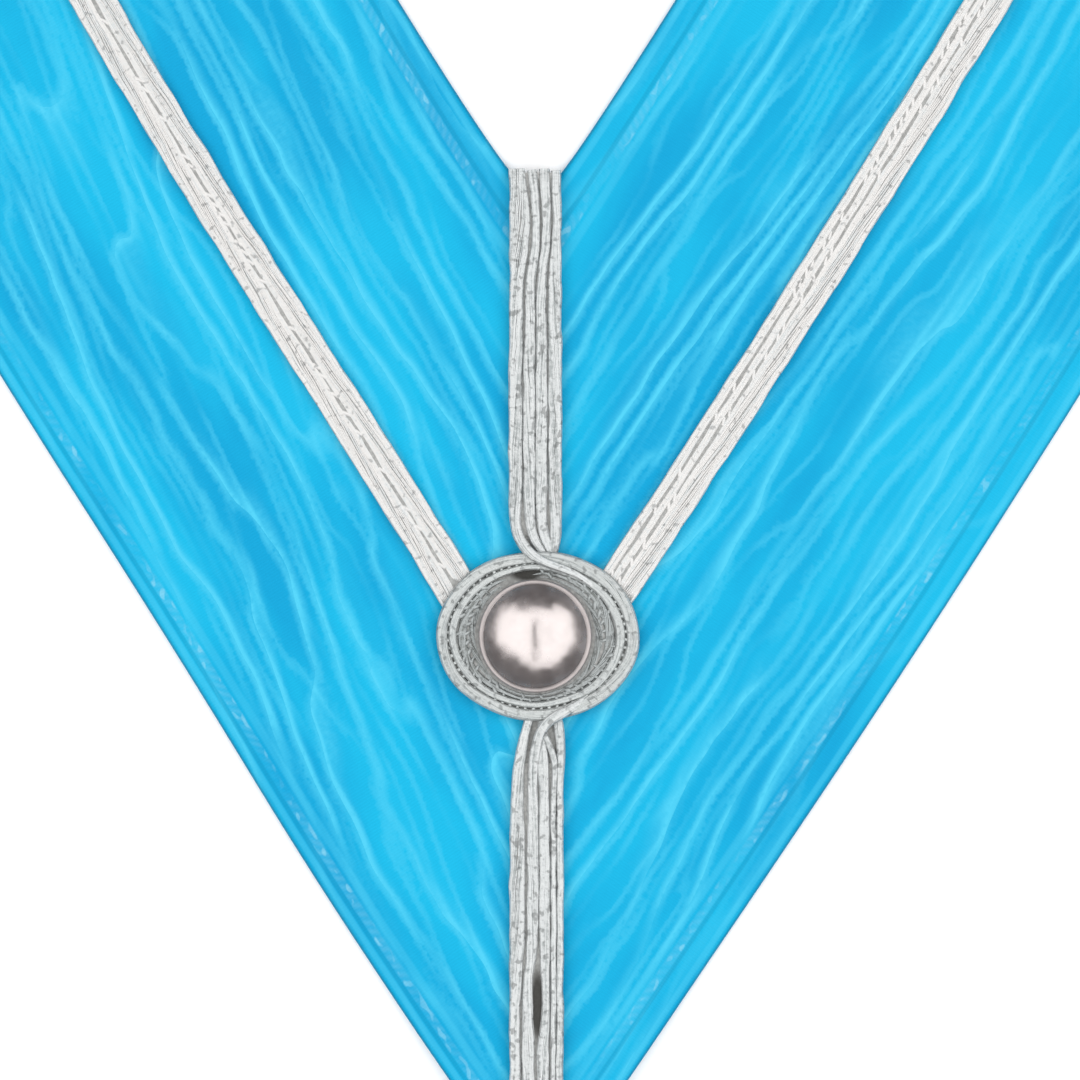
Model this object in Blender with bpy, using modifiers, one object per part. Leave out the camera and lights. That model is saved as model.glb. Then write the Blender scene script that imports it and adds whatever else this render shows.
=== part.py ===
"""Ceremonial ribbon collar, lying flat: two ribbon halves, silver braid, a rosette, a button and a hook.

Sizes are in metres and +Z is up. The collar is laid out from its point: X runs across it and Y runs
from the point towards the back of the neck. One empty then puts the middle of the collar at the origin.
"""

import math
from typing import NamedTuple

import bmesh
import bpy
import numpy as np
from mathutils import Vector
from mathutils.geometry import interpolate_bezier

LEFT = -1
RIGHT = 1

# Clearance between pieces that touch
GAP = 0.0003

# Ribbon, with the place where its middle line meets the front seam
RIBBON_WIDTH = 0.1016
RIBBON_THICKNESS = 0.0020
RIBBON_STATIONS = 40
SEAM_FORWARD = 0.0903
WIDTH_EASE = 0.080

# How far the ribbon puffs up between the lines where it is sewn down
PUFF = 0.0006
SEAM_CALM_NEAR = 0.006
SEAM_CALM_FAR = 0.020
ROSETTE_CALM_NEAR = 0.020
ROSETTE_CALM_FAR = 0.034

# Notch at the front of the neck opening, rounded where the inner edges meet
NOTCH_EASE = 0.0050
NOTCH_LANE = 0.80
NOTCH_NEAR = 0.200
NOTCH_FAR = 0.260

# Neck, which the ribbon goes round in a circle behind the shoulders
NECK_RADIUS = 0.075
COLLAR_LENGTH = 0.508
SHOULDER_ANGLE = math.radians(20)
SHOULDER_REACH = 0.022
SHOULDER_STEPS = 30
BACK_ANGLE = math.radians(98)

# Point, raised a little where it covers the eye of the hook
TIP_LIFT_FULL = 0.022
TIP_LIFT_END = 0.048

# Braid, whose ridges rise from its valleys and whose edges are thin
RIDGE_STEPS = 4
VALLEY_SHARE = 0.72
EDGE_SHARE = 0.35
SIDE_BRAID_WIDTH = 0.0080
SIDE_BRAID_HEIGHT = 0.0016
SIDE_BRAID_STATIONS = 46
CENTRE_BRAID_WIDTH = 0.0098
CENTRE_BRAID_HEIGHT = 0.0021
CENTRE_BRAID_STATIONS = 14
CENTRE_BRAID_TOP = 0.1952
CENTRE_BRAID_RIDGES = 3
LOWER_BRAID_ASIDE = 0.0004
POINT_MARGIN = 0.0025
POINT_BLUNTNESS = 0.0018
POINT_SLOPE = 0.62

# Rosette
ROSETTE_FORWARD = 0.1074
ROSETTE_ASIDE = 0.0005
ROSETTE_HALF_WIDTH = 0.0191
ROSETTE_HALF_LENGTH = 0.01595
ROSETTE_SEGMENTS = 44

# Button
BUTTON_RADIUS = 0.01065
BUTTON_SEGMENTS = 32
DOME_RADIUS = 0.0099
DOME_HEIGHT = 0.0058
DOME_STEPS = 8
DOME_FOOT = 0.0026

# Jewel hook, whose eye and bend are arcs round their own middles
WIRE_DIAMETER = 0.0016
EYE_FORWARD = 0.0140
EYE_RADIUS = 0.0038
EYE_ARC = (math.radians(-58), math.radians(245))
EYE_STEPS = 20
BEND_FORWARD = -0.0070
BEND_RADIUS = 0.0048
BEND_ARC = (math.radians(150), math.radians(380))
BEND_STEPS = 16

# Fine steps that lines are followed in
PATH_STEP = 0.001
SEAM_STEP = 0.0005
TURN_STEP = math.radians(1)
RUN_ON = 0.020
SHARP_ANGLE = math.radians(50)


class ArmRow(NamedTuple):
    """How far the arms turn away from straight back, in degrees, along the middle of the ribbon."""
    along: float
    left: float
    right: float


ARM_ROWS = (
    ArmRow(along=-0.085, left=35.4, right=40.0),
    ArmRow(along=-0.040, left=34.8, right=34.6),
    ArmRow(along=0.020, left=31.3, right=33.8),
    ArmRow(along=0.080, left=32.7, right=32.5),
    ArmRow(along=0.165, left=30.0, right=31.2),
)


class Lie(NamedTuple):
    """What differs between the two halves as they lie."""
    side: int
    half_width: float
    braid_inwards: float
    braid_ridges: int


LIES = {
    "left": Lie(side=LEFT, half_width=0.0503, braid_inwards=0.0010, braid_ridges=2),
    "right": Lie(side=RIGHT, half_width=0.0519, braid_inwards=0.0018, braid_ridges=3),
}


class EdgeRow(NamedTuple):
    """One corner of the rounded ribbon edge, from the underside round to the top."""
    inset: float
    height: float


RIBBON_EDGE = (
    EdgeRow(inset=0.0009, height=0.0000),
    EdgeRow(inset=0.0002, height=0.0004),
    EdgeRow(inset=0.0000, height=0.0010),
    EdgeRow(inset=0.0005, height=0.0017),
    EdgeRow(inset=0.0016, height=RIBBON_THICKNESS),
)
RIBBON_TOP_LANES = (-0.90, -0.75, -0.60, -0.45, -0.22, -0.10, 0.10, 0.22, 0.45, 0.72)
RIBBON_UNDER_LANES = (0.50, 0.0, -0.45, -0.60, -0.75, -0.90)
BRAID_UNDER_LANES = (-0.94, -0.47, 0.0, 0.47, 0.94)


class CordRow(NamedTuple):
    """One corner of the rosette's section: how far in from its outline, and how high."""
    inwards: float
    height: float


OUTER_BRAID_ROWS = (
    CordRow(0.000, 0.0007), CordRow(0.050, 0.0020), CordRow(0.160, 0.0027), CordRow(0.270, 0.0021),
    CordRow(0.315, 0.0014), CordRow(0.360, 0.0020), CordRow(0.440, 0.0024), CordRow(0.520, 0.0018),
    CordRow(0.550, 0.0006), CordRow(0.500, 0.0000), CordRow(0.050, 0.0000),
)
INNER_BRAID_ROWS = (
    CordRow(0.610, 0.0005), CordRow(0.650, 0.0013), CordRow(0.710, 0.0016), CordRow(0.770, 0.0012),
    CordRow(0.800, 0.0009), CordRow(0.830, 0.0011), CordRow(0.900, 0.0013), CordRow(0.970, 0.0009),
    CordRow(1.000, 0.0004), CordRow(0.970, 0.0000), CordRow(0.640, 0.0000),
)


class TurnRow(NamedTuple):
    """One corner of the button's outline, from the top of its dome down to the end of its shank."""
    radius: float
    height: float


BUTTON_FOOT = (
    TurnRow(radius=0.01015, height=0.0025),
    TurnRow(radius=BUTTON_RADIUS, height=0.0021),
    TurnRow(radius=BUTTON_RADIUS, height=0.0017),
    TurnRow(radius=0.01000, height=0.0014),
    TurnRow(radius=0.00250, height=0.0012),
    TurnRow(radius=0.00200, height=0.0008),
    TurnRow(radius=0.00200, height=0.0000),
    TurnRow(radius=0.00000, height=0.0000),
)


class WireRow(NamedTuple):
    """One point on the middle of the hook's wire, between its arcs."""
    aside: float
    forward: float


HOOK_SHANK = (
    WireRow(aside=-0.0005, forward=0.0098),
    WireRow(aside=0.0000, forward=0.0088),
    WireRow(aside=0.0000, forward=0.0060),
    WireRow(aside=0.0000, forward=0.0032),
    WireRow(aside=-0.0008, forward=0.0006),
    WireRow(aside=-0.0025, forward=-0.0020),
)
HOOK_END = (
    WireRow(aside=0.0043, forward=-0.0042),
    WireRow(aside=0.0046, forward=-0.0031),
    WireRow(aside=0.0054, forward=-0.0022),
)

BLUE = "2FBFEB"
SILVER_THREAD = "CDD1D1"
SILVER_SHADE = "B4B8B8"
BUTTON_METAL = "D9CDCB"
HOOK_METAL = "B9BBBC"


class Finish(NamedTuple):
    """A material as plain values."""
    colour: str
    roughness: float
    metallic: float


FINISHES = {
    "moire_ribbon": Finish(BLUE, 0.45, 0.0),
    "silver_braid": Finish(SILVER_THREAD, 0.55, 0.0),
    "silver_braid_shade": Finish(SILVER_SHADE, 0.6, 0.0),
    "button_metal": Finish(BUTTON_METAL, 0.2, 1.0),
    "hook_metal": Finish(HOOK_METAL, 0.3, 1.0),
}

HALF_RIBBON = RIBBON_WIDTH / 2
NECK_FORWARD = COLLAR_LENGTH - RIBBON_WIDTH - NECK_RADIUS
NECK_CENTRE_LINE = NECK_RADIUS + HALF_RIBBON
WIRE_RADIUS = WIRE_DIAMETER / 2
TIP_LIFT = WIRE_DIAMETER + GAP
BRAID_BASE = RIBBON_THICKNESS + GAP


class Path(NamedTuple):
    """A line on the surface, with the direction towards its inner side and its half width at each step."""
    along: np.ndarray
    points: np.ndarray
    inwards: np.ndarray
    half_width: np.ndarray


def clear_scene():
    """Remove every object that the file opened with."""
    for thing in list(bpy.data.objects):
        bpy.data.objects.remove(thing, do_unlink=True)


def linear_colour(code):
    """Turn a hex sRGB colour into the linear values that a shader takes."""
    channels = [int(code[place:place + 2], 16) / 255 for place in (0, 2, 4)]
    linear = [c / 12.92 if c <= 0.04045 else ((c + 0.055) / 1.055) ** 2.4 for c in channels]
    return (*linear, 1.0)


def make_material(name):
    """Return the named finish as a material, made once."""
    if name in bpy.data.materials:
        return bpy.data.materials[name]
    finish = FINISHES[name]
    material = bpy.data.materials.new(name)
    material.use_nodes = True
    shader = material.node_tree.nodes["Principled BSDF"]
    shader.inputs["Base Color"].default_value = linear_colour(finish.colour)
    shader.inputs["Roughness"].default_value = finish.roughness
    shader.inputs["Metallic"].default_value = finish.metallic
    return material


def smooth_step(value, low, high):
    """Ease from 0 at low to 1 at high."""
    share = np.clip((value - low) / (high - low), 0.0, 1.0)
    return share * share * (3 - 2 * share)


def arm_line(lie):
    """Follow the middle of one arm through its headings, from before the seam to the shoulder."""
    rows_along = [row.along for row in ARM_ROWS]
    headings = [row.left if lie.side == LEFT else row.right for row in ARM_ROWS]
    along = np.arange(rows_along[0] - RUN_ON, rows_along[-1], PATH_STEP)
    heading = np.radians(np.interp(along, rows_along, headings))
    steps = np.stack([np.sin(heading), np.cos(heading)], axis=1) * PATH_STEP
    points = np.cumsum(steps, axis=0)
    points += np.array([0.0, SEAM_FORWARD]) - points[np.argmin(np.abs(along))]
    return points, heading[-1]


def neck_line():
    """Follow the circle round the neck, from the shoulder to just past the back seam."""
    angles = np.arange(-SHOULDER_ANGLE, BACK_ANGLE, TURN_STEP)
    circle = np.stack([np.cos(angles), np.sin(angles)], axis=1) * NECK_CENTRE_LINE
    return circle + np.array([0.0, NECK_FORWARD])


def shoulder_line(arm_end, arm_heading, neck_start):
    """Join the arm to the neck circle with one smooth curve."""
    leave = arm_end + SHOULDER_REACH * np.array([math.sin(arm_heading), math.cos(arm_heading)])
    reach = neck_start - SHOULDER_REACH * np.array([math.sin(SHOULDER_ANGLE), math.cos(SHOULDER_ANGLE)])
    knots = [Vector((*point, 0.0)) for point in (arm_end, leave, reach, neck_start)]
    curve = interpolate_bezier(*knots, SHOULDER_STEPS)
    return np.array([(point.x, point.y) for point in curve[1:-1]])


def even_path(points, half_width, side):
    """Space a line's points evenly and find which way is inwards at each."""
    lengths = np.hypot(*np.diff(points, axis=0).T)
    measured = np.concatenate([[0.0], np.cumsum(lengths)])
    along = np.arange(0.0, measured[-1], PATH_STEP)
    even = np.stack([np.interp(along, measured, points[:, axis]) for axis in (0, 1)], axis=1)
    ahead = np.gradient(even, axis=0)
    ahead /= np.linalg.norm(ahead, axis=1)[:, None]
    inwards = np.stack([-ahead[:, 1], ahead[:, 0]], axis=1)
    mirror = np.array([side, 1.0])
    return Path(along, even * mirror, inwards * mirror, np.interp(along, *half_width))


def ribbon_path(lie):
    """The middle line of one ribbon half, laid from past the front seam to past the back seam."""
    arm, heading = arm_line(lie)
    neck = neck_line()
    line = np.concatenate([arm, shoulder_line(arm[-1], heading, neck[0]), neck])
    arm_length = len(arm) * PATH_STEP
    half_width = ([arm_length, arm_length + WIDTH_EASE], [lie.half_width, HALF_RIBBON])
    return even_path(line, half_width, lie.side)


def braid_path(path, lie):
    """The middle line of the side braid, a little to the inner side of the ribbon's own."""
    points = path.points + path.inwards * lie.braid_inwards
    return Path(path.along, points, path.inwards, np.full_like(path.along, SIDE_BRAID_WIDTH / 2))


def seam_path(aside):
    """A straight line along the front seam, from past the point to past the notch."""
    forward = np.arange(-RUN_ON, CENTRE_BRAID_TOP + RUN_ON, SEAM_STEP)
    points = np.stack([np.full_like(forward, aside), forward], axis=1)
    inwards = np.tile([1.0, 0.0], (len(forward), 1))
    return Path(forward, points, inwards, np.full_like(forward, CENTRE_BRAID_WIDTH / 2))


def eased_notch(points, across):
    """Round the inside of the notch, where the two inner edges meet at the seam."""
    aside, forward = points.T
    inner = smooth_step(across, NOTCH_LANE, 1.0)
    near = 1 - smooth_step(forward, NOTCH_NEAR, NOTCH_FAR)
    rise = np.hypot(aside, NOTCH_EASE) - np.abs(aside)
    return np.stack([aside, forward + rise * inner * near], axis=1)


def lane(path, across):
    """A line beside the path, across half widths towards its inner side."""
    return path.points + path.inwards * (across * path.half_width)[:, None]


def trimmed(path, points, clearance, stations):
    """Cut a lane to where its clearance is positive and space points evenly along what is left."""
    room = clearance(points[:, 0], points[:, 1])
    opening = np.flatnonzero((room[:-1] <= 0) & (room[1:] > 0))[-1]
    closing = np.flatnonzero((room[:-1] > 0) & (room[1:] <= 0))[-1]
    ends = []
    for place in (opening, closing):
        share = room[place] / (room[place] - room[place + 1])
        ends.append(path.along[place] + share * (path.along[place + 1] - path.along[place]))
    spots = np.linspace(ends[0], ends[1], stations)
    return np.stack([np.interp(spots, path.along, points[:, axis]) for axis in (0, 1)], axis=1)


def outside_rosette(x, y, margin=GAP):
    """Positive outside the rosette's oval outline, zero at the margin from it."""
    wide = ROSETTE_HALF_WIDTH + margin
    long = ROSETTE_HALF_LENGTH + margin
    return np.hypot((x - ROSETTE_ASIDE) / wide, (y - ROSETTE_FORWARD) / long) - 1


def tip_lift(y):
    """How far the point is raised off the surface by the hook's eye under it."""
    return TIP_LIFT * (1 - smooth_step(y, TIP_LIFT_FULL, TIP_LIFT_END))


def ribbon_puff(x, y, across):
    """How far the ribbon puffs up between the lines where braid holds it down."""
    between = np.sin(math.pi * across) ** 2
    off_seam = smooth_step(np.abs(x), SEAM_CALM_NEAR, SEAM_CALM_FAR)
    from_rosette = np.hypot(x - ROSETTE_ASIDE, y - ROSETTE_FORWARD)
    off_rosette = smooth_step(from_rosette, ROSETTE_CALM_NEAR, ROSETTE_CALM_FAR)
    return PUFF * between * off_seam * off_rosette


def ribbon_section(half_width):
    """The ribbon's section as across and height pairs, once round."""
    edge = [(1 - row.inset / half_width, row.height) for row in RIBBON_EDGE]
    top = [(across, RIBBON_THICKNESS) for across in reversed(RIBBON_TOP_LANES)]
    under = [(across, 0.0) for across in reversed(RIBBON_UNDER_LANES)]
    return edge + top + [(-across, height) for across, height in reversed(edge)] + under


def braid_section(height, ridges):
    """A flat-backed section with rounded ridges along its top, as across and height pairs."""
    steps = RIDGE_STEPS * ridges
    top = []
    for step in range(steps + 1):
        wave = abs(math.sin(math.pi * step / RIDGE_STEPS))
        floor = VALLEY_SHARE if 0 < step < steps else EDGE_SHARE
        top.append((1 - 2 * step / steps, height * (floor + (1 - floor) * wave)))
    return top + [(across, 0.0) for across in BRAID_UNDER_LANES]


def add_object(name, mesh, material_name, parent):
    """Put a mesh in the collar's collection with its material, hung on the collar's empty."""
    mesh.materials.clear()
    mesh.materials.append(make_material(material_name))
    mesh.shade_smooth()
    mesh.set_sharp_from_angle(angle=SHARP_ANGLE)
    thing = bpy.data.objects.new(name, mesh)
    thing.parent = parent
    parent.users_collection[0].objects.link(thing)
    return thing


def loft(name, rings, closed):
    """Skin a row of rings, capped at both ends unless the row closes on itself."""
    stations, corners = rings.shape[:2]
    build = bmesh.new()
    verts = [[build.verts.new(corner) for corner in ring] for ring in rings]
    for station in range(stations if closed else stations - 1):
        near = verts[station]
        far = verts[(station + 1) % stations]
        for corner in range(corners):
            after = (corner + 1) % corners
            build.faces.new((near[corner], near[after], far[after], far[corner]))
    if not closed:
        build.faces.new(verts[0])
        build.faces.new(verts[-1])
    bmesh.ops.recalc_face_normals(build, faces=build.faces)
    mesh = bpy.data.meshes.new(name)
    build.to_mesh(mesh)
    build.free()
    return mesh


def band_mesh(name, path, section, stations, clearance, height_at, shape_lane=None):
    """Loft a flat woven band along a path, each lane of it cut to its own ends."""
    rings = np.zeros((stations, len(section), 3))
    for corner, (across, height) in enumerate(section):
        points = lane(path, across)
        if shape_lane:
            points = shape_lane(points, across)
        points = trimmed(path, points, clearance, stations)
        rings[:, corner, :2] = points
        rings[:, corner, 2] = height_at(points[:, 0], points[:, 1], across, height)
    return loft(name, rings, closed=False)


def make_ribbon(word, parent):
    """One ribbon half, from the mitred front seam round to the back seam."""
    lie = LIES[word]
    path = ribbon_path(lie)

    def clearance(x, y):
        return x * lie.side - GAP / 2

    def height_at(x, y, across, height):
        on_top = height >= RIBBON_THICKNESS
        return height + tip_lift(y) + ribbon_puff(x, y, across) * on_top

    name = f"ribbon_{word}"
    section = ribbon_section(HALF_RIBBON)
    mesh = band_mesh(name, path, section, RIBBON_STATIONS, clearance, height_at, eased_notch)
    add_object(name, mesh, "moire_ribbon", parent)


def make_side_braid(word, parent):
    """The braid along the middle of one half, from the rosette round to the back seam."""
    lie = LIES[word]
    path = braid_path(ribbon_path(lie), lie)

    def clearance(x, y):
        return np.minimum(x * lie.side - GAP / 2, outside_rosette(x, y))

    def height_at(x, y, across, height):
        return BRAID_BASE + height

    name = f"side_braid_{word}"
    section = braid_section(SIDE_BRAID_HEIGHT, lie.braid_ridges)
    mesh = band_mesh(name, path, section, SIDE_BRAID_STATIONS, clearance, height_at)
    add_object(name, mesh, "silver_braid", parent)


def make_centre_braid(word, parent):
    """The braid over the front seam, above the rosette to the notch or below it to the point."""
    upper = word == "upper"

    def clearance(x, y):
        if upper:
            end = CENTRE_BRAID_TOP - y
            beyond = y - ROSETTE_FORWARD
        else:
            past_end = y - POINT_MARGIN
            end = np.minimum(past_end, past_end * POINT_SLOPE + POINT_BLUNTNESS - np.abs(x))
            beyond = ROSETTE_FORWARD - y
        return np.minimum(np.minimum(end, beyond), outside_rosette(x, y))

    def height_at(x, y, across, height):
        return BRAID_BASE + tip_lift(y) + height

    name = f"centre_braid_{word}"
    section = braid_section(CENTRE_BRAID_HEIGHT, CENTRE_BRAID_RIDGES)
    path = seam_path(0.0 if upper else LOWER_BRAID_ASIDE)
    mesh = band_mesh(name, path, section, CENTRE_BRAID_STATIONS, clearance, height_at)
    add_object(name, mesh, "silver_braid", parent)


def make_rosette_braid(name, rows, material_name, parent):
    """One turn of the braid round the button, between the oval outline and the button's rim."""
    angles = np.arange(ROSETTE_SEGMENTS) * 2 * math.pi / ROSETTE_SEGMENTS
    facing = np.stack([np.cos(angles), np.sin(angles)], axis=1)
    outline = facing * [ROSETTE_HALF_WIDTH, ROSETTE_HALF_LENGTH] + [ROSETTE_ASIDE, ROSETTE_FORWARD]
    rim = facing * (BUTTON_RADIUS + GAP) + [0.0, ROSETTE_FORWARD]
    rings = np.zeros((ROSETTE_SEGMENTS, len(rows), 3))
    for corner, row in enumerate(rows):
        rings[:, corner, :2] = outline + (rim - outline) * row.inwards
        rings[:, corner, 2] = BRAID_BASE + row.height
    add_object(name, loft(name, rings, closed=True), material_name, parent)


def button_outline():
    """The button's outline from the middle of its dome down to the middle of its shank."""
    dome = []
    for step in range(DOME_STEPS + 1):
        angle = math.pi / 2 * (1 - step / DOME_STEPS)
        radius = DOME_RADIUS * math.cos(angle) if step else 0.0
        dome.append(TurnRow(radius, DOME_FOOT + DOME_HEIGHT * math.sin(angle)))
    return (*dome, *BUTTON_FOOT)


def make_button(parent):
    """The domed button, turned in one piece with its rim, back and shank."""
    build = bmesh.new()
    verts = [build.verts.new((row.radius, 0.0, row.height)) for row in button_outline()]
    for above, below in zip(verts, verts[1:]):
        build.edges.new((above, below))
    mesh = bpy.data.meshes.new("button")
    build.to_mesh(mesh)
    build.free()
    button = add_object("button", mesh, "button_metal", parent)
    button.location = (0.0, ROSETTE_FORWARD, BRAID_BASE)
    screw = button.modifiers.new("turn", "SCREW")
    screw.steps = BUTTON_SEGMENTS
    screw.render_steps = BUTTON_SEGMENTS
    screw.use_merge_vertices = True
    screw.merge_threshold = 0.00001
    screw.use_smooth_shade = True


def arc(radius, forward, span, steps):
    """Points along an arc whose middle lies on the collar's middle line."""
    turn = np.linspace(*span, steps)
    return np.stack([np.cos(turn) * radius, np.sin(turn) * radius + forward], axis=1)


def hook_route():
    """The middle of the wire: round the eye, down the shank and round the bend to its turned-out end."""
    eye = arc(EYE_RADIUS, EYE_FORWARD, EYE_ARC, EYE_STEPS)
    bend = arc(BEND_RADIUS, BEND_FORWARD, BEND_ARC, BEND_STEPS)
    return np.concatenate([eye, HOOK_SHANK, bend, HOOK_END])


def make_hook(parent):
    """The jewel hook, one bent wire whose eye lies under the point of the collar."""
    curve = bpy.data.curves.new("jewel_hook", "CURVE")
    curve.dimensions = "3D"
    curve.bevel_depth = WIRE_RADIUS
    curve.bevel_resolution = 2
    curve.use_fill_caps = True
    route = hook_route()
    spline = curve.splines.new("POLY")
    spline.points.add(len(route) - 1)
    for point, (x, y) in zip(spline.points, route):
        point.co = (x, y, WIRE_RADIUS, 1.0)
    hook = bpy.data.objects.new("jewel_hook", curve)
    curve.materials.append(make_material("hook_metal"))
    hook.parent = parent
    parent.users_collection[0].objects.link(hook)
    return min(y for x, y in route) - WIRE_RADIUS


def main():
    clear_scene()
    collection = bpy.data.collections.new("masonic_collar")
    bpy.context.scene.collection.children.link(collection)
    point = bpy.data.objects.new("collar_point", None)
    collection.objects.link(point)
    for word in LIES:
        make_ribbon(word, point)
        make_side_braid(word, point)
    for word in ("upper", "lower"):
        make_centre_braid(word, point)
    make_rosette_braid("rosette_outer_braid", OUTER_BRAID_ROWS, "silver_braid", point)
    make_rosette_braid("rosette_inner_braid", INNER_BRAID_ROWS, "silver_braid_shade", point)
    make_button(point)
    hook_end = make_hook(point)
    point.location.y = -(COLLAR_LENGTH + hook_end) / 2


main()
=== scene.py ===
"""Looks of the ceremonial ribbon collar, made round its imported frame.

This is laid out as an add-on and run as a script. The settings hold the sizes and colours, each
operator makes one piece or a group of like pieces, and the panel in the sidebar lists them. Sizes are
in metres. Routes are laid out from the collar's point, as in the part's source, and then moved onto
the frame, whose middle is the origin.
"""

import math
from typing import NamedTuple

import bmesh
import bpy
import numpy as np
from mathutils import Matrix, Vector
from mathutils.geometry import interpolate_bezier


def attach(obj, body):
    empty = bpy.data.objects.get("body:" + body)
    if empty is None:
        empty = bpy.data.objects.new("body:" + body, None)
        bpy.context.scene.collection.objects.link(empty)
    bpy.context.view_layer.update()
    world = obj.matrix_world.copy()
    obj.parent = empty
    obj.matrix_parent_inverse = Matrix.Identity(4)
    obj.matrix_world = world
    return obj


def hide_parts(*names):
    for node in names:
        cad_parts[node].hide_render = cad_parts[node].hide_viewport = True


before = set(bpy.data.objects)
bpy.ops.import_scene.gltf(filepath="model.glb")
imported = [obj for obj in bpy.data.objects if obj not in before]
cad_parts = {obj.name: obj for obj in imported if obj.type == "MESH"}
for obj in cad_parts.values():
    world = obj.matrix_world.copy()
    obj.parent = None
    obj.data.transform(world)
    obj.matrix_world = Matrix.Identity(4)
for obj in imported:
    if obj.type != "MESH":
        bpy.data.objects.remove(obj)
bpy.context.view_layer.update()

bl_info = {
    "name": "Ribbon collar looks",
    "version": (1, 0, 0),
    "blender": (4, 5, 0),
    "location": "View3D > Sidebar > Collar",
    "description": "Makes the cloth, braid, rosette, button and hook of a ribbon collar",
    "category": "Object",
}

BODY = "root"
LEFT = -1
RIGHT = 1
TAU = 2 * math.pi
MM = 0.001

# The part's own layout, as its source has it
GAP = 0.0003
RIBBON_WIDTH = 0.1016
RIBBON_THICKNESS = 0.0020
SEAM_FORWARD = 0.0903
WIDTH_EASE = 0.080
PUFF = 0.0006
SEAM_CALM_NEAR = 0.006
SEAM_CALM_FAR = 0.020
ROSETTE_CALM_NEAR = 0.020
ROSETTE_CALM_FAR = 0.034
NOTCH_EASE = 0.0050
NOTCH_LANE = 0.80
NOTCH_NEAR = 0.200
NOTCH_FAR = 0.260
NECK_RADIUS = 0.075
COLLAR_LENGTH = 0.508
SHOULDER_ANGLE = math.radians(20)
SHOULDER_REACH = 0.022
SHOULDER_STEPS = 30
BACK_ANGLE = math.radians(98)
TIP_LIFT_FULL = 0.022
TIP_LIFT_END = 0.048
SIDE_BRAID_HEIGHT = 0.0016
CENTRE_BRAID_HEIGHT = 0.0021
CENTRE_BRAID_TOP = 0.1952
POINT_MARGIN = 0.0025
POINT_BLUNTNESS = 0.0018
POINT_SLOPE = 0.62
ROSETTE_FORWARD = 0.1074
ROSETTE_ASIDE = 0.0005
ROSETTE_HALF_WIDTH = 0.0191
ROSETTE_HALF_LENGTH = 0.01595
BUTTON_RADIUS = 0.01065
DOME_RADIUS = 0.0099
DOME_HEIGHT = 0.0058
DOME_FOOT = 0.0026
WIRE_DIAMETER = 0.0016
EYE_FORWARD = 0.0140
EYE_RADIUS = 0.0038
EYE_ARC = (math.radians(-58), math.radians(245))
BEND_FORWARD = -0.0070
BEND_RADIUS = 0.0048
BEND_ARC = (math.radians(150), math.radians(380))
HOOK_SHANK = (
    (-0.0005, 0.0098), (0.0, 0.0088), (0.0, 0.0060), (0.0, 0.0032), (-0.0008, 0.0006), (-0.0025, -0.0020),
)
HOOK_TURNED_END = ((0.0043, -0.0042), (0.0046, -0.0031), (0.0054, -0.0022))
PATH_STEP = 0.001
TURN_STEP = math.radians(1)
RUN_ON = 0.020

# What only the looks need
SIDE_STEP_SHARE = 2.6
ROSETTE_STEP_SHARE = 0.78
SOFTEN_OVER = 0.0026
CENTRE_TURNS = 8.0
CORE_INSET = 0.00019
CORE_CORNERS = 12
GROUND_LOW = 0.0019
GROUND_HIGH = 0.0035
GROUND_INSET = 0.0005
STRIP_DROP = 0.0003
CLOTH_SEAM_CLEAR = 0.00006
CORD_SEAM_CLEAR = 0.00005
GROUND_SEAM_CLEAR = 0.0001
CORD_TUCK = 0.0016
GROUND_TUCK = 0.0004
ROSETTE_CORNERS = 721
SLACK_WIDE = math.radians(16)
RING_SLACK = math.radians(104)
SLACK_CLEAR = math.radians(17)
DOME_STEPS = 26
DOME_SPREAD = 0.0200
DOME_DROP = 0.00427
BEAD_MIDDLE = 0.01018
BEAD_RADIUS = 0.00045
BEAD_FORWARD = 0.0036
DULL_FROM = 0.00955
DULL_FULL = 0.00985
FLOOR_HALF = 3.0
FLOOR_HEIGHT = -0.0003
PANEL_HEIGHT = 1.0
SENSOR_WIDTH = 36.0
VIEW_MIDDLE = (0.0009, -0.1223)
VIEW_LEVEL = 0.0025

# How square a cord's section is, across and up, where 1 is round
CORD_SQUARENESS = (0.85, 0.62)

# The button's back and shank as radius and height, and the colour of the painted shade in the gaps between the cords
BUTTON_BACK = (
    (0.0100, 0.0014), (0.0060, 0.0012), (0.0025, 0.0012), (0.0020, 0.0008), (0.0020, 0.0), (0.0, 0.0),
)
GAP_SHADE = "343330"

WIRE_RADIUS = WIRE_DIAMETER / 2
HALF_RIBBON = RIBBON_WIDTH / 2
TIP_LIFT = WIRE_DIAMETER + GAP
BRAID_BASE = RIBBON_THICKNESS + GAP
NECK_FORWARD = COLLAR_LENGTH - RIBBON_WIDTH - NECK_RADIUS
NECK_CENTRE_LINE = NECK_RADIUS + HALF_RIBBON
POINT_Y = -(COLLAR_LENGTH + BEND_FORWARD - BEND_RADIUS - WIRE_RADIUS) / 2


class LightPanel(NamedTuple):
    """The edges of one light panel over the collar, in metres."""
    left: float
    right: float
    near: float
    far: float


# Wide panels with a slit between them, higher at the sides, and small ones that round off their lower edge
LIGHT_PANELS = (
    LightPanel(-0.90, -0.066, -0.62, 0.90), LightPanel(0.066, 0.90, -0.62, 0.90),
    LightPanel(-2.30, -0.90, -0.62, 1.50), LightPanel(0.90, 2.30, -0.62, 1.50),
    LightPanel(-0.066, 0.066, 0.42, 0.90), LightPanel(-1.35, -0.066, -0.95, -0.62),
    LightPanel(-0.65, -0.066, -1.25, -0.95), LightPanel(0.066, 1.70, -1.12, -0.62),
    LightPanel(-0.20, 1.20, -1.52, -1.12),
)


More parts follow.
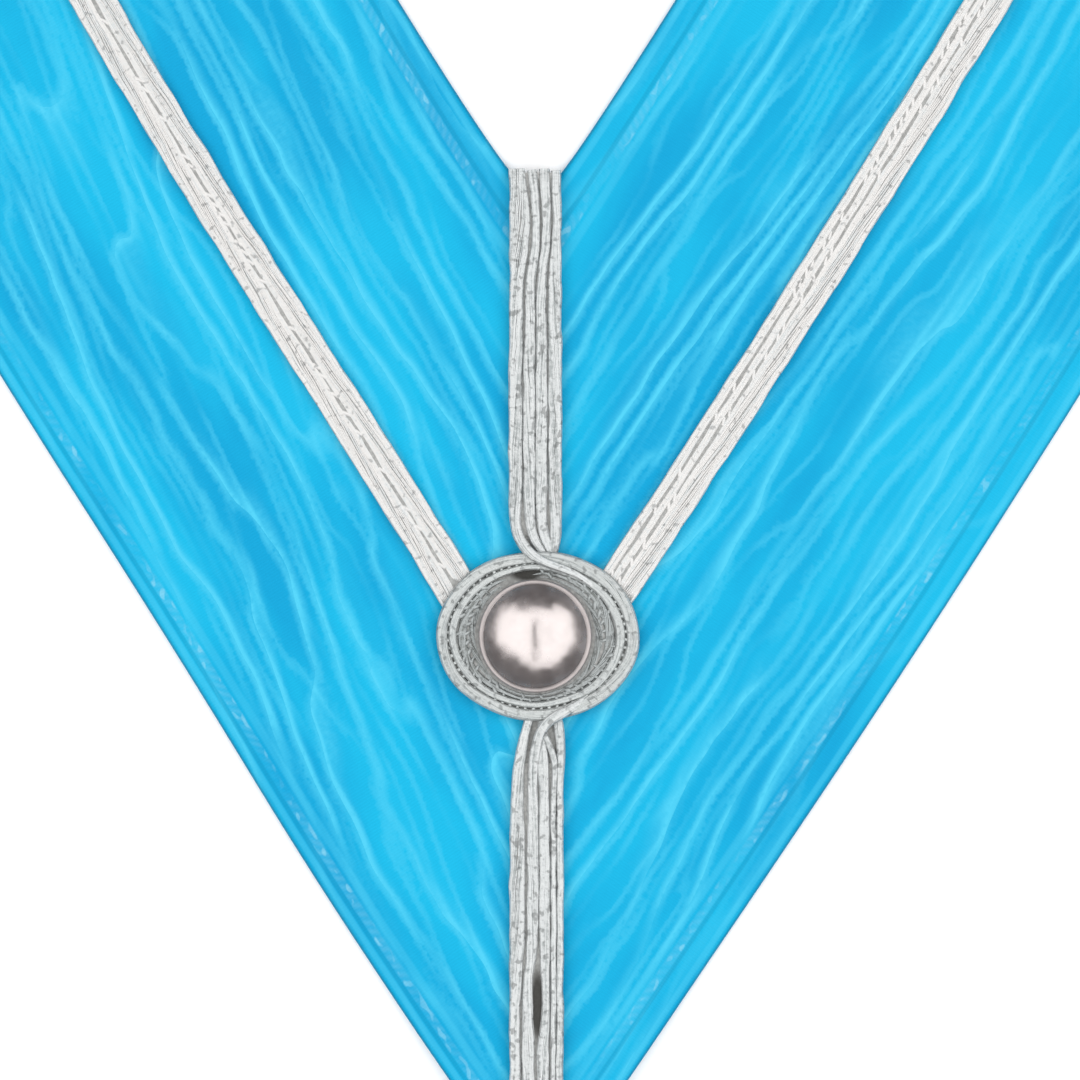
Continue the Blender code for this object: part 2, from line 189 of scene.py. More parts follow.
class ArmRow(NamedTuple):
    """How far the arms turn away from straight back, in degrees, along the middle of the ribbon."""
    along: float
    left: float
    right: float


ARM_ROWS = (
    ArmRow(-0.085, 35.4, 40.0),
    ArmRow(-0.040, 34.8, 34.6),
    ArmRow(0.020, 31.3, 33.8),
    ArmRow(0.080, 32.7, 32.5),
    ArmRow(0.165, 30.0, 31.2),
)


class CordPlace(NamedTuple):
    """Where one cord lies across its braid, how wide it is and how its threads turn, per metre."""
    aside: float
    half_width: float
    turns: float


class Lie(NamedTuple):
    """What differs between the two halves as they lie."""
    side: int
    half_width: float
    braid_inwards: float
    cords: tuple
    outer_line: float
    inner_line: float
    cloth_shift: float
    slant: float


LIES = {
    "left": Lie(
        LEFT, 0.0503, 0.0010,
        (CordPlace(-0.00202, 0.00194, 4.0), CordPlace(0.00202, 0.00194, -4.0)),
        0.0039, 0.0056, 0.0, 0.10,
    ),
    "right": Lie(
        RIGHT, 0.0519, 0.0018,
        (CordPlace(-0.00187, 0.00211, 4.0), CordPlace(0.00121, 0.00080, -7.0),
         CordPlace(0.00312, 0.00091, 6.0)),
        0.0062, 0.0060, 3.0, 0.0,
    ),
}


class Knot(NamedTuple):
    """One spot on a centre cord, in mm from the collar's point: its place, its half width and its lift."""
    aside: float
    forward: float
    half_width: float
    lift: float = 0.0


UPPER_CORDS = (
    (Knot(-3.40, 195.1, 1.50), Knot(-3.15, 190.5, 1.75), Knot(-2.85, 185.7, 2.02), Knot(-2.98, 180, 1.90),
     Knot(-3.45, 176, 1.42), Knot(-3.52, 169, 1.35), Knot(-3.70, 155, 1.32), Knot(-3.68, 134, 1.30),
     Knot(-3.85, 129, 1.10), Knot(-3.35, 126.3, 1.00, 0.2), Knot(-2.0, 123.9, 1.00, 1.3),
     Knot(0.0, 122.0, 0.95, 1.8), Knot(2.6, 120.8, 0.85, 1.5), Knot(5.2, 120.1, 0.75, 1.1),
     Knot(8.2, 118.8, 0.70, 0.8), Knot(10.8, 116.9, 0.60, 0.3), Knot(12.6, 115.0, 0.50, -0.5)),
    (Knot(-0.55, 194.9, 0.95), Knot(-0.20, 190.5, 0.90), Knot(0.30, 185.7, 0.80), Knot(0.10, 180, 0.85),
     Knot(-0.80, 176, 1.00), Knot(-0.95, 169, 1.00), Knot(-1.15, 155, 1.20), Knot(-1.15, 134, 1.20),
     Knot(-1.0, 129, 1.05), Knot(-0.6, 126.2, 0.95), Knot(0.5, 124.2, 0.90), Knot(1.7, 122.6, 0.80, -0.3)),
    (Knot(1.75, 195.1, 1.05), Knot(1.85, 190.5, 1.00), Knot(2.20, 185.7, 0.90), Knot(2.00, 180, 0.90),
     Knot(1.25, 176, 0.92), Knot(1.15, 169, 1.00), Knot(1.20, 155, 1.18), Knot(1.15, 134, 1.18),
     Knot(1.2, 129, 1.05), Knot(1.6, 126.2, 1.00), Knot(2.5, 124.4, 0.90), Knot(3.2, 122.6, 0.80, -0.3)),
    (Knot(3.95, 194.8, 0.90), Knot(3.95, 190.5, 0.95), Knot(4.10, 185.7, 0.85), Knot(4.00, 180, 0.95),
     Knot(3.65, 176, 1.32), Knot(3.65, 169, 1.32), Knot(3.74, 155, 1.32), Knot(3.72, 134, 1.32),
     Knot(3.9, 129, 1.15), Knot(3.85, 126.2, 1.10), Knot(3.6, 124.4, 1.00), Knot(3.2, 122.4, 0.90, -0.3)),
)
LOWER_CORDS = (
    (Knot(-3.0, 7.4, 0.60), Knot(-3.72, 16, 0.98), Knot(-3.80, 29, 1.08), Knot(-3.85, 38, 1.04),
     Knot(-3.62, 44, 1.24), Knot(-3.36, 50, 1.48), Knot(-3.34, 57, 1.52), Knot(-3.34, 70, 1.46),
     Knot(-3.36, 77.4, 1.20), Knot(-3.25, 81.4, 1.16), Knot(-2.90, 84.0, 1.12), Knot(-2.43, 86.5, 1.00),
     Knot(-1.90, 89.1, 0.90), Knot(-1.25, 91.2, 0.90), Knot(-0.9, 92.8, 0.90, -0.3)),
    (Knot(-0.9, 5.0, 0.60), Knot(-1.38, 16, 1.18), Knot(-1.28, 29, 1.28), Knot(-1.50, 38, 1.06),
     Knot(-1.22, 44, 0.94), Knot(-0.72, 48, 1.04), Knot(-0.45, 52, 1.16), Knot(-0.40, 57, 1.20),
     Knot(-0.42, 70, 1.16), Knot(-0.48, 77.4, 0.98), Knot(-0.45, 81.4, 1.00), Knot(-0.25, 84.0, 1.02, 0.2),
     Knot(0.12, 86.5, 1.05, 0.5), Knot(0.80, 89.1, 1.00, 0.9), Knot(1.75, 90.9, 0.95, 1.4),
     Knot(3.2, 92.0, 1.00, 1.6), Knot(5.0, 92.9, 1.00, 1.4), Knot(7.6, 94.4, 0.90, 0.9), Knot(10.2, 96.0, 0.80, -0.3)),
    (Knot(1.2, 5.0, 0.60), Knot(1.28, 16, 1.12), Knot(1.45, 29, 1.25), Knot(2.05, 38, 0.76),
     Knot(1.92, 45.5, 0.96), Knot(1.75, 50, 1.12), Knot(1.80, 57, 1.12), Knot(1.75, 70, 1.10),
     Knot(1.65, 77.4, 1.00), Knot(1.60, 81.4, 1.10), Knot(1.40, 84.5, 1.15), Knot(1.2, 87, 1.00, -0.1),
     Knot(1.2, 89.5, 0.80, -0.3), Knot(1.3, 92.5, 0.80, -0.5)),
    (Knot(2.6, 6.6, 0.40), Knot(3.15, 16, 0.55), Knot(3.40, 30, 0.55), Knot(3.45, 45, 0.60),
     Knot(3.50, 57, 0.60), Knot(3.45, 70, 0.60), Knot(3.40, 77.4, 0.58), Knot(3.85, 82.7, 0.60, 0.2),
     Knot(3.5, 85, 0.60, 0.35), Knot(2.4, 87.5, 0.60, 0.35), Knot(1.6, 89.3, 0.60, 0.2),
     Knot(0.9, 91.8, 0.60, -0.4)),
    (Knot(3.6, 7.8, 0.50), Knot(4.30, 16, 0.80), Knot(4.60, 30, 0.75), Knot(4.65, 45, 0.70),
     Knot(4.70, 57, 0.70), Knot(4.65, 70, 0.70), Knot(4.60, 77.4, 0.68), Knot(4.75, 81.4, 0.70),
     Knot(4.85, 85, 0.85), Knot(4.75, 88, 0.95), Knot(4.4, 90.5, 1.00), Knot(3.9, 92.6, 1.00, -0.3)),
)


class RingCord(NamedTuple):
    """One turn of the rosette, as shares of the way in from its outline to the button's rim.

    Each share is given at the sides of the oval and at its front and back, where there is less room."""
    middle_side: float
    middle_end: float
    half_side: float
    half_end: float
    height: float
    turns: int


class ShadedGap(NamedTuple):
    """A dark oval of painted shade on the ground, where the cords stand apart, in mm from the collar's point."""
    aside: float
    forward: float
    half_wide: float
    half_long: float


SHADED_GAPS = (ShadedGap(0.43, 38.2, 1.3, 7.0), ShadedGap(-1.6, 119.3, 3.4, 1.7))

OUTER_RING = (
    RingCord(0.140, 0.226, 0.138, 0.222, 0.0027, 1),
    RingCord(0.412, 0.610, 0.108, 0.126, 0.0024, -1),
)
INNER_RING = (
    RingCord(0.640, 0.810, 0.118, 0.075, 0.0017, 3),
    RingCord(0.880, 0.945, 0.112, 0.060, 0.0014, -3),
)


def linear_colour(code):
    """Turn a hex sRGB colour into the linear values that a shader takes."""
    channels = [int(code[place:place + 2], 16) / 255 for place in (0, 2, 4)]
    return tuple(c / 12.92 if c <= 0.04045 else ((c + 0.055) / 1.055) ** 2.4 for c in channels)


def colour_setting(name, description, code):
    """A colour that the user can change, with its usual value."""
    return bpy.props.FloatVectorProperty(
        name=name, description=description, subtype="COLOR", size=3, min=0.0, max=1.0,
        default=linear_colour(code))


def size_setting(name, description, value):
    """A length that the user can change, with its usual value."""
    return bpy.props.FloatProperty(
        name=name, description=description, subtype="DISTANCE", unit="LENGTH", min=0.0, precision=5,
        default=value)


class CollarClothSettings(bpy.types.PropertyGroup):
    """Sizes and colours of the watered ribbon."""
    main: colour_setting("Ribbon", "Colour of the ribbon between its watermarks", "0DAAD3")
    # Painted sheen: the watermark lines are paler only because the flattened ribs reflect more light
    light: colour_setting("Watermark", "Colour where the ribs are pressed flat", "47BDDD")
    # The deeper patches are the cloth's own tone; darkened further, this colour is painted shade along the rolled edge
    # and in a thin line beside the seam
    deep: colour_setting("Shade", "Colour of the deeper patches and of the folded edge", "0096C5")
    # Painted highlight: the pulled-up cloth is the same blue, only lit more
    knot: colour_setting("Knots", "Colour where the hidden seam pulls the cloth up", "7FC4DB")
    rib: size_setting("Rib", "Distance from one rib of the weave to the next", 0.00055)
    watermark: size_setting("Watermark lines", "Usual distance between watermark lines", 0.0058)


class CollarBraidSettings(bpy.types.PropertyGroup):
    """Sizes and colours of the silver braid and the rosette."""
    side_silver: colour_setting("Fresh silver", "Colour of the side braids' brighter threads", "D7D6D4")
    # The bluish cast of this silver is painted light, thrown onto the centre braid by the blue cloth around it
    light: colour_setting("Silver", "Colour of the centre braid's brighter threads", "CFD2D2")
    ring: colour_setting("Ring", "Colour of the rosette's outer turns", "C0C4C3")
    dull: colour_setting("Dull silver", "Colour of the duller threads", "A9AEAE")
    # Painted shade: the rosette's inner turns lie in the shade of the button's dome, and this colour is darker for it
    shade: colour_setting("Tarnish", "Colour of the rosette's inner turns", "7E8280")
    ground: colour_setting("Ground", "Colour of the woven strip and the filling under the threads", "A9AAA8")
    thread: size_setting("Thread", "Thickness of one wound thread", 0.00034)
    step: size_setting("Step", "Distance between the corners of a thread", 0.0009)


class CollarMetalSettings(bpy.types.PropertyGroup):
    """Colours of the button and the hook."""
    button: colour_setting("Button", "Colour of the plated button", "CBC3C1")
    hook: colour_setting("Hook", "Colour of the hook's wire", "B9BBBC")


class CollarStageSettings(bpy.types.PropertyGroup):
    """The floor, the light panels and the view."""
    floor: colour_setting("Floor", "Colour of the floor", "FCFCFC")
    surroundings: colour_setting("Room", "Colour of the room beyond the light panels", "7C7A7B")
    panel: bpy.props.FloatProperty(
        name="Panels", description="How bright the light panels are", min=0.0, default=1.70)
    view_width: size_setting("View width", "Width of the collar that the view takes in", 0.20304)
    view_distance: size_setting("View distance", "Height of the camera above the collar", 0.90)


SETTINGS = {
    "collar_cloth": CollarClothSettings,
    "collar_braid": CollarBraidSettings,
    "collar_metal": CollarMetalSettings,
    "collar_stage": CollarStageSettings,
}


# Routes, laid out from the collar's point


class Path(NamedTuple):
    """A line on the surface, with the direction towards its inner side and its half width at each step."""
    along: np.ndarray
    points: np.ndarray
    inwards: np.ndarray
    half_width: np.ndarray


def smooth_step(value, low, high):
    """Ease from 0 at low to 1 at high."""
    share = np.clip((value - low) / (high - low), 0.0, 1.0)
    return share * share * (3 - 2 * share)


def bump(value, wide):
    """A smooth hump of height 1 at zero."""
    return np.exp(-(value / wide) ** 2)


def ripple(along, seed, wavelength):
    """An uneven wave between about -1 and 1, the same each time for one seed."""
    source = np.random.default_rng(seed)
    total = np.zeros_like(along)
    for share in (1.0, 1.73, 2.91):
        total += np.sin(TAU * along * share / wavelength + source.uniform(0, TAU)) / share
    return total / 1.9


def arm_line(lie):
    """Follow the middle of one arm through its headings, from before the seam to the shoulder."""
    rows_along = [row.along for row in ARM_ROWS]
    headings = [row.left if lie.side == LEFT else row.right for row in ARM_ROWS]
    along = np.arange(rows_along[0] - RUN_ON, rows_along[-1], PATH_STEP)
    heading = np.radians(np.interp(along, rows_along, headings))
    points = np.cumsum(np.stack([np.sin(heading), np.cos(heading)], axis=1) * PATH_STEP, axis=0)
    points += np.array([0.0, SEAM_FORWARD]) - points[np.argmin(np.abs(along))]
    return points, heading[-1]


def ribbon_path(lie):
    """The middle line of one ribbon half, from past the front seam round the neck to past the back seam."""
    arm, heading = arm_line(lie)
    angles = np.arange(-SHOULDER_ANGLE, BACK_ANGLE, TURN_STEP)
    neck = np.stack([np.cos(angles), np.sin(angles)], axis=1) * NECK_CENTRE_LINE
    neck += np.array([0.0, NECK_FORWARD])
    leave = arm[-1] + SHOULDER_REACH * np.array([math.sin(heading), math.cos(heading)])
    reach = neck[0] - SHOULDER_REACH * np.array([math.sin(SHOULDER_ANGLE), math.cos(SHOULDER_ANGLE)])
    knots = [Vector((*point, 0.0)) for point in (arm[-1], leave, reach, neck[0])]
    curve = interpolate_bezier(*knots, SHOULDER_STEPS)
    line = np.concatenate([arm, [(point.x, point.y) for point in curve[1:-1]], neck])
    measured = measure(line)
    along = np.arange(0.0, measured[-1], PATH_STEP)
    even = placed(along, measured, line)
    ahead = np.gradient(even, axis=0)
    ahead /= np.linalg.norm(ahead, axis=1)[:, None]
    inwards = np.stack([-ahead[:, 1], ahead[:, 0]], axis=1)
    arm_length = len(arm) * PATH_STEP
    half_width = np.interp(along, [arm_length, arm_length + WIDTH_EASE], [lie.half_width, HALF_RIBBON])
    mirror = np.array([lie.side, 1.0])
    return Path(along, even * mirror, inwards * mirror, half_width)


def measure(points):
    """How far along a line each of its points is."""
    return np.concatenate([[0.0], np.cumsum(np.linalg.norm(np.diff(points, axis=0), axis=1))])


def placed(spots, measured, points):
    """The points at some distances along a line."""
    return np.stack([np.interp(spots, measured, column) for column in points.T], axis=1)


def eased_notch(points, across):
    """Round the inside of the notch, where the two inner edges meet at the seam."""
    aside, forward = points.T
    inner = smooth_step(across, NOTCH_LANE, 1.0)
    near = 1 - smooth_step(forward, NOTCH_NEAR, NOTCH_FAR)
    rise = np.hypot(aside, NOTCH_EASE) - np.abs(aside)
    return np.stack([aside, forward + rise * inner * near], axis=1)


def cut_to(along, points, room, stations):
    """Cut a line to its last stretch with positive room, and space points evenly along it."""
    opening = np.flatnonzero((room[:-1] <= 0) & (room[1:] > 0))[-1]
    closing = np.flatnonzero((room[:-1] > 0) & (room[1:] <= 0))[-1]
    ends = []
    for place in (opening, closing):
        share = room[place] / (room[place] - room[place + 1])
        ends.append(along[place] + share * (along[place + 1] - along[place]))
    spots = np.linspace(ends[0], ends[1], stations)
    return spots, placed(spots, along, points)


def outside_rosette(x, y, margin):
    """Positive outside the rosette's oval outline, zero at the margin from it."""
    wide = ROSETTE_HALF_WIDTH + margin
    long = ROSETTE_HALF_LENGTH + margin
    return np.hypot((x - ROSETTE_ASIDE) / wide, (y - ROSETTE_FORWARD) / long) - 1


def tip_lift(y):
    """How far the point is raised off the surface by the hook's eye under it."""
    return TIP_LIFT * (1 - smooth_step(y, TIP_LIFT_FULL, TIP_LIFT_END))


class Crease(NamedTuple):
    """A soft line pressed into or raised from the cloth, in mm: how far off, how wide and how deep."""
    off: float
    wide: float
    depth: float


BESIDE_SIDE_BRAID = Crease(4.7, 0.55, 0.16)
BESIDE_CENTRE_BRAID = Crease(5.6, 0.6, 0.16)
HEM_RIDGE = Crease(1.0, 0.5, 0.10)
HEM_LINE = Crease(0.0, 0.35, 0.08)
SEAM_VALLEY = Crease(0.0, 0.5, 0.5)


def creased(distance, crease):
    """How deep a crease is at a distance from the line that it runs beside."""
    return crease.depth * MM * bump(np.abs(distance) - crease.off * MM, crease.wide * MM)


def cloth_top(lie, along, points, across, half_width):
    """Height of the ribbon's upper face: puffed between its seams, pressed down beside the braid and
    along its edge stitching, and turned in at the seams."""
    x, y = points[..., 0], points[..., 1]
    off_seam = smooth_step(np.abs(x), SEAM_CALM_NEAR, SEAM_CALM_FAR)
    off_rosette = smooth_step(
        np.hypot(x - ROSETTE_ASIDE, y - ROSETTE_FORWARD), ROSETTE_CALM_NEAR, ROSETTE_CALM_FAR)
    height = RIBBON_THICKNESS + tip_lift(y)
    height = height + PUFF * np.sin(math.pi * across) ** 2 * off_seam * off_rosette
    off_braid = across * half_width - lie.braid_inwards
    height -= creased(off_braid, BESIDE_SIDE_BRAID) * off_rosette
    height -= creased(x, BESIDE_CENTRE_BRAID) * (y < CENTRE_BRAID_TOP)
    hem = hem_distance(lie, across, half_width)
    height += creased(hem, HEM_RIDGE) - creased(hem, HEM_LINE)
    height -= creased(x, SEAM_VALLEY)
    slow = ripple(along + 0.4 * across * half_width, 5 + lie.side, 0.062)
    quick = ripple(along - 0.9 * across * half_width, 8 + lie.side, 0.021)
    return height + (0.10 * MM * slow + 0.03 * MM * quick) * off_rosette * off_seam


def hem_distance(lie, across, half_width):
    """How far a spot is from the stitched line along the nearer edge, positive towards the middle."""
    from_edge = (1 - np.abs(across)) * half_width
    return from_edge - np.where(across > 0, lie.inner_line, lie.outer_line)


def on_frame(points):
    """Move points from the collar's own layout onto the frame."""
    moved = np.array(points, float)
    moved[..., 1] += POINT_Y
    return moved


def smooth_route(knots, step, passes=3):
    """A soft line through a few knots, with even steps."""
    knots = np.array(knots, float)
    measured = measure(knots)
    spots = np.linspace(0, measured[-1], max(3, round(measured[-1] / step)))
    line = placed(spots, measured, knots)
    window = max(1, round(SOFTEN_OVER / step))
    kernel = np.ones(window) / window
    ends = ((window // 2, window - 1 - window // 2), (0, 0))
    for _ in range(passes):
        padded = np.pad(line, ends, mode="reflect", reflect_type="odd")
        line = np.stack([np.convolve(column, kernel, "valid") for column in padded.T], axis=1)
    return line


# Nodes and materials


def fill(tree, node, sockets):
    """Fill a node's inputs, by name or in order, from values, nodes or sockets."""
    inputs = [socket for socket in node.inputs if socket.enabled]
    filled = sockets.items() if isinstance(sockets, dict) else enumerate(sockets)
    for key, value in filled:
        socket = inputs[key] if isinstance(key, int) else next(s for s in inputs if s.name == key)
        if isinstance(value, bpy.types.Node):
            value = next(output for output in value.outputs if output.enabled)
        if isinstance(value, bpy.types.NodeSocket):
            tree.links.new(value, socket)
        elif value is not None:
            socket.default_value = value


def add(tree, kind, sockets=(), **settings):
    """Add one node, set it up and fill its inputs."""
    node = tree.nodes.new(kind)
    for name, value in settings.items():
        setattr(node, name, value)
    fill(tree, node, sockets)
    return node


MATH = "ShaderNodeMath"
VECTOR_MATH = "ShaderNodeVectorMath"
NOISE = "ShaderNodeTexNoise"
RANGE = "ShaderNodeMapRange"
BUMP = "ShaderNodeBump"
MIX = "ShaderNodeMix"
SOFT = {"interpolation_type": "SMOOTHSTEP"}


def new_material(name):
    """An empty material with its shader, and the tree to build it in."""
    material = bpy.data.materials.new(name)
    material.use_nodes = True
    return material, material.node_tree, material.node_tree.nodes["Principled BSDF"]


def rgba(colour):
    """A setting's colour with full cover."""
    return (*colour, 1.0)


def stretched_noise(tree, place, rows):
    """Noise stretched along the ribbon, one for each row of length, width, detail and shift in mm."""
    made = {}
    for word, (long, wide, detail, shift) in rows.items():
        scaled = add(tree, "ShaderNodeMapping", {
            "Vector": place, "Location": (shift, shift, 0.0), "Scale": (1 / long, 1 / wide, 1.0)})
        made[word] = add(tree, NOISE, {"Vector": scaled, "Scale": 1.0, "Detail": detail, "Roughness": 0.5})
    return made


SWAY_NOISE = {
    "broad": (170.0, 40.0, 0.0, 3.0),
    "flame": (62.0, 10.5, 0.0, 17.0),
    "waver": (15.0, 6.0, 1.0, 11.0),
    "fine": (44.0, 7.5, 0.0, 53.0),
}
CLOTH_NOISE = {
    "grit": (1.1, 1.2, 1.0, 23.0),
    "fade": (26.0, 7.0, 1.0, 31.0),
    "patch": (60.0, 11.0, 0.0, 41.0),
    "cloud": (70.0, 20.0, 4.0, 67.0),
    "knots": (2.2, 1.2, 0.0, 61.0),
    "break": (14.0, 9.0, 1.0, 73.0),
}
PROBE = 0.6


def cloth_material(settings):
    """Watered silk ribbon: woven with fine ribs across it, then pressed so that the ribs lie flat along
    wandering lines. The eye sees a soft sheen, pale wavy lines with pointed ends and a faint rib. The lines
    follow the pressing, but their paleness is a painted sheen, and the rib is painted lighter and darker as
    well as bumped. Along the edges the hidden seam shows as a twisted line between soft stripes. The twisted
    line and the pale stripes are painted highlights, and the dark stripes along the edge and beside the seam
    are painted shade."""
    material, tree, shader = new_material("watered_silk_ribbon")
    weave = add(tree, "ShaderNodeUVMap", uv_map="weave")
    place = add(tree, VECTOR_MATH, {"Vector": weave, "Scale": 1 / MM}, operation="SCALE")
    apart = add(tree, "ShaderNodeSeparateXYZ", (place,))
    along, across = apart.outputs["X"], apart.outputs["Y"]
    noise = stretched_noise(tree, place, CLOTH_NOISE)
    beside = add(tree, VECTOR_MATH, (place, (0.0, PROBE, 0.0)), operation="ADD")
    swaying = [stretched_noise(tree, spot, SWAY_NOISE) for spot in (place, beside)]

    def lines(spacing, sways, half, soft):
        """Pale lines where a wandering phase passes a half, in mm wide, and how far past one the cloth is."""
        phases = []
        for number, noises in enumerate(swaying):
            phase = add(tree, MATH, (across, 1 / spacing, number * PROBE / spacing), operation="MULTIPLY_ADD")
            for word, sway in sways.items():
                phase = add(tree, MATH, (noises[word], sway, phase), operation="MULTIPLY_ADD")
            phases.append(phase)
        # The phase's slope keeps the lines equally wide, but for the places where they turn back
        slope = add(tree, MATH, (phases[1], phases[0]), operation="SUBTRACT")
        slope = add(tree, MATH, (slope,), operation="ABSOLUTE")
        slope = add(tree, MATH, (slope, 0.40 * PROBE / spacing), operation="MAXIMUM")
        past = add(tree, MATH, (phases[0],), operation="FRACT")
        off = add(tree, MATH, (past, 0.5), operation="SUBTRACT")
        off = add(tree, MATH, (off,), operation="ABSOLUTE")
        off = add(tree, MATH, (off, PROBE), operation="MULTIPLY")
        off = add(tree, MATH, (off, slope), operation="DIVIDE")
        off = add(tree, MATH, (noise["grit"], 1.6, off), operation="MULTIPLY_ADD")
        line = add(tree, RANGE, (off, 0.8 + half - soft, 0.8 + half + soft, 1.0, 0.0), **SOFT)
        after = add(tree, MATH, (past, 0.5), operation="GREATER_THAN")
        trail = add(tree, RANGE, (past, 0.5, 0.98, 1.0, 0.0), **SOFT)
        return line, add(tree, MATH, (after, trail), operation="MULTIPLY")

    def stripe(distance, middle, half, share, edge=0.5):
        """A soft stripe at a distance from the ribbon's edge or from its seam, in mm."""
        off = add(tree, MATH, (distance, middle * MM), operation="SUBTRACT")
        off = add(tree, MATH, (off,), operation="ABSOLUTE")
        return add(tree, RANGE, (off, half * (1 - edge) * MM, half * (1 + edge) * MM, share, 0.0), **SOFT)

    # The watermark lines below follow the pressing, but their pale colour is a painted sheen, not a dye
    watermark = settings.watermark / MM
    filled = add(tree, RANGE, (noise["patch"], 0.44, 0.62, 0.05, 0.55), **SOFT)
    main, trail = lines(watermark, {"broad": 2.8, "flame": 2.9, "waver": 0.55}, 0.80, 0.72)
    faint, _ = lines(watermark * 0.6, {"broad": 3.2, "fine": 2.4, "waver": 0.65}, 0.50, 0.48)
    fade = add(tree, RANGE, (noise["fade"], 0.34, 0.58, 0.30, 1.0), **SOFT)
    bright = add(tree, MATH, (main, fade), operation="MULTIPLY")
    trail = add(tree, MATH, (trail, filled), operation="MULTIPLY")
    bright = add(tree, MATH, (bright, 0.58, trail), operation="MULTIPLY_ADD")
    fade_other = add(tree, RANGE, (noise["fade"], 0.40, 0.62, 0.40, 0.08), **SOFT)
    soft = add(tree, MATH, (faint, fade_other), operation="MULTIPLY")
    bright = add(tree, MATH, (bright, soft), operation="ADD")
    grain = add(tree, RANGE, (noise["grit"], 0.3, 0.7, 0.70, 1.28))
    bright = add(tree, MATH, (bright, grain), operation="MULTIPLY")

    edge = add(tree, "ShaderNodeAttribute", attribute_name="edge").outputs["Fac"]
    hem = add(tree, "ShaderNodeAttribute", attribute_name="hem").outputs["Fac"]
    near_seam = stripe(hem, 0.0, 0.75, 1.0, 0.35)
    # The seam's thread pulls the cloth into a cord with a twist every 1.9 mm; the cord is painted paler, as a
    # highlight where the cloth is pulled up
    twist = add(tree, MATH, (hem, 0.4 / MM), operation="MULTIPLY")
    twist = add(tree, MATH, (along, 1 / 1.9, twist), operation="MULTIPLY_ADD")
    twist = add(tree, MATH, (noise["break"], 2.0, twist), operation="MULTIPLY_ADD")
    twist = add(tree, MATH, (twist, TAU), operation="MULTIPLY")
    twist = add(tree, MATH, (twist,), operation="SINE")
    strokes = add(tree, RANGE, (twist, -1.0, 1.0, 0.10, 0.24))
    knots = add(tree, RANGE, (noise["knots"], 0.58, 0.72, 0.0, 0.55), **SOFT)
    rope = add(tree, MATH, (strokes, knots), operation="ADD")
    shown = add(tree, RANGE, (noise["break"], 0.40, 0.60, 0.15, 0.9), **SOFT)
    rope = add(tree, MATH, (rope, shown), operation="MULTIPLY")
    rope = add(tree, MATH, (rope, near_seam), operation="MULTIPLY")
    calm = add(tree, RANGE, (edge, 0.0060, 0.0095, 0.35, 1.0), **SOFT)
    bright = add(tree, MATH, (bright, calm), operation="MULTIPLY")
    # Painted highlights: a pale stripe just in from the edge and another beside the seam, where the cloth rolls and
    # rises and catches the light
    for distance, middle, half, share in ((edge, 1.5, 0.55, 0.36), (hem, 2.1, 0.7, 0.28)):
        bright = add(tree, MATH, (bright, stripe(distance, middle, half, share)), operation="ADD")
    bright = add(tree, MATH, (bright, 0.0), operation="ADD", use_clamp=True)

    patch = add(tree, RANGE, (noise["cloud"], 0.36, 0.64, 0.0, 1.0), **SOFT)
    # Painted shade: a darker stripe along the rolled edge and a thin one between the seam and the edge
    painted_fold_shade = tuple(channel * 0.62 for channel in settings.deep)
    colour = rgba(settings.deep)
    for share, tint in (
            (patch, settings.main), (bright, settings.light), (rope, settings.knot),
            (stripe(hem, -1.25, 0.40, 0.30), painted_fold_shade), (stripe(edge, 0.0, 0.45, 0.75), painted_fold_shade)):
        colour = add(tree, MIX, {"Factor": share, "A": colour, "B": rgba(tint)}, data_type="RGBA")

    # A real rib is 0.4 mm wide; it is drawn a little coarser, so that it shows
    rib = add(tree, MATH, (along, TAU * MM / settings.rib), operation="MULTIPLY")
    rib = add(tree, MATH, (rib,), operation="SINE")
    flat = add(tree, MATH, (bright, -0.8, 1.0), operation="MULTIPLY_ADD")
    rib = add(tree, MATH, (rib, flat), operation="MULTIPLY")
    relief = add(tree, MATH, (bright, 1.6, rib), operation="MULTIPLY_ADD")
    relief = add(tree, MATH, (rope, 2.0, relief), operation="MULTIPLY_ADD")
    normal = add(tree, BUMP, {"Strength": 0.4, "Distance": 0.00003, "Height": relief})
    # Painted light and shade: the colour is made a little lighter and darker across each rib
    painted_rib_shade = add(tree, RANGE, (rib, -1.0, 1.0, 0.978, 1.016))
    final = add(tree, VECTOR_MATH, {"Vector": colour, "Scale": painted_rib_shade}, operation="SCALE")
    rough = add(tree, RANGE, (bright, 0.0, 1.0, 0.58, 0.44))
    fill(tree, shader, {
        "Base Color": final, "Normal": normal, "Roughness": rough, "Specular IOR Level": 0.12,
        "Sheen Weight": 0.03, "Sheen Roughness": 0.4})
    return material


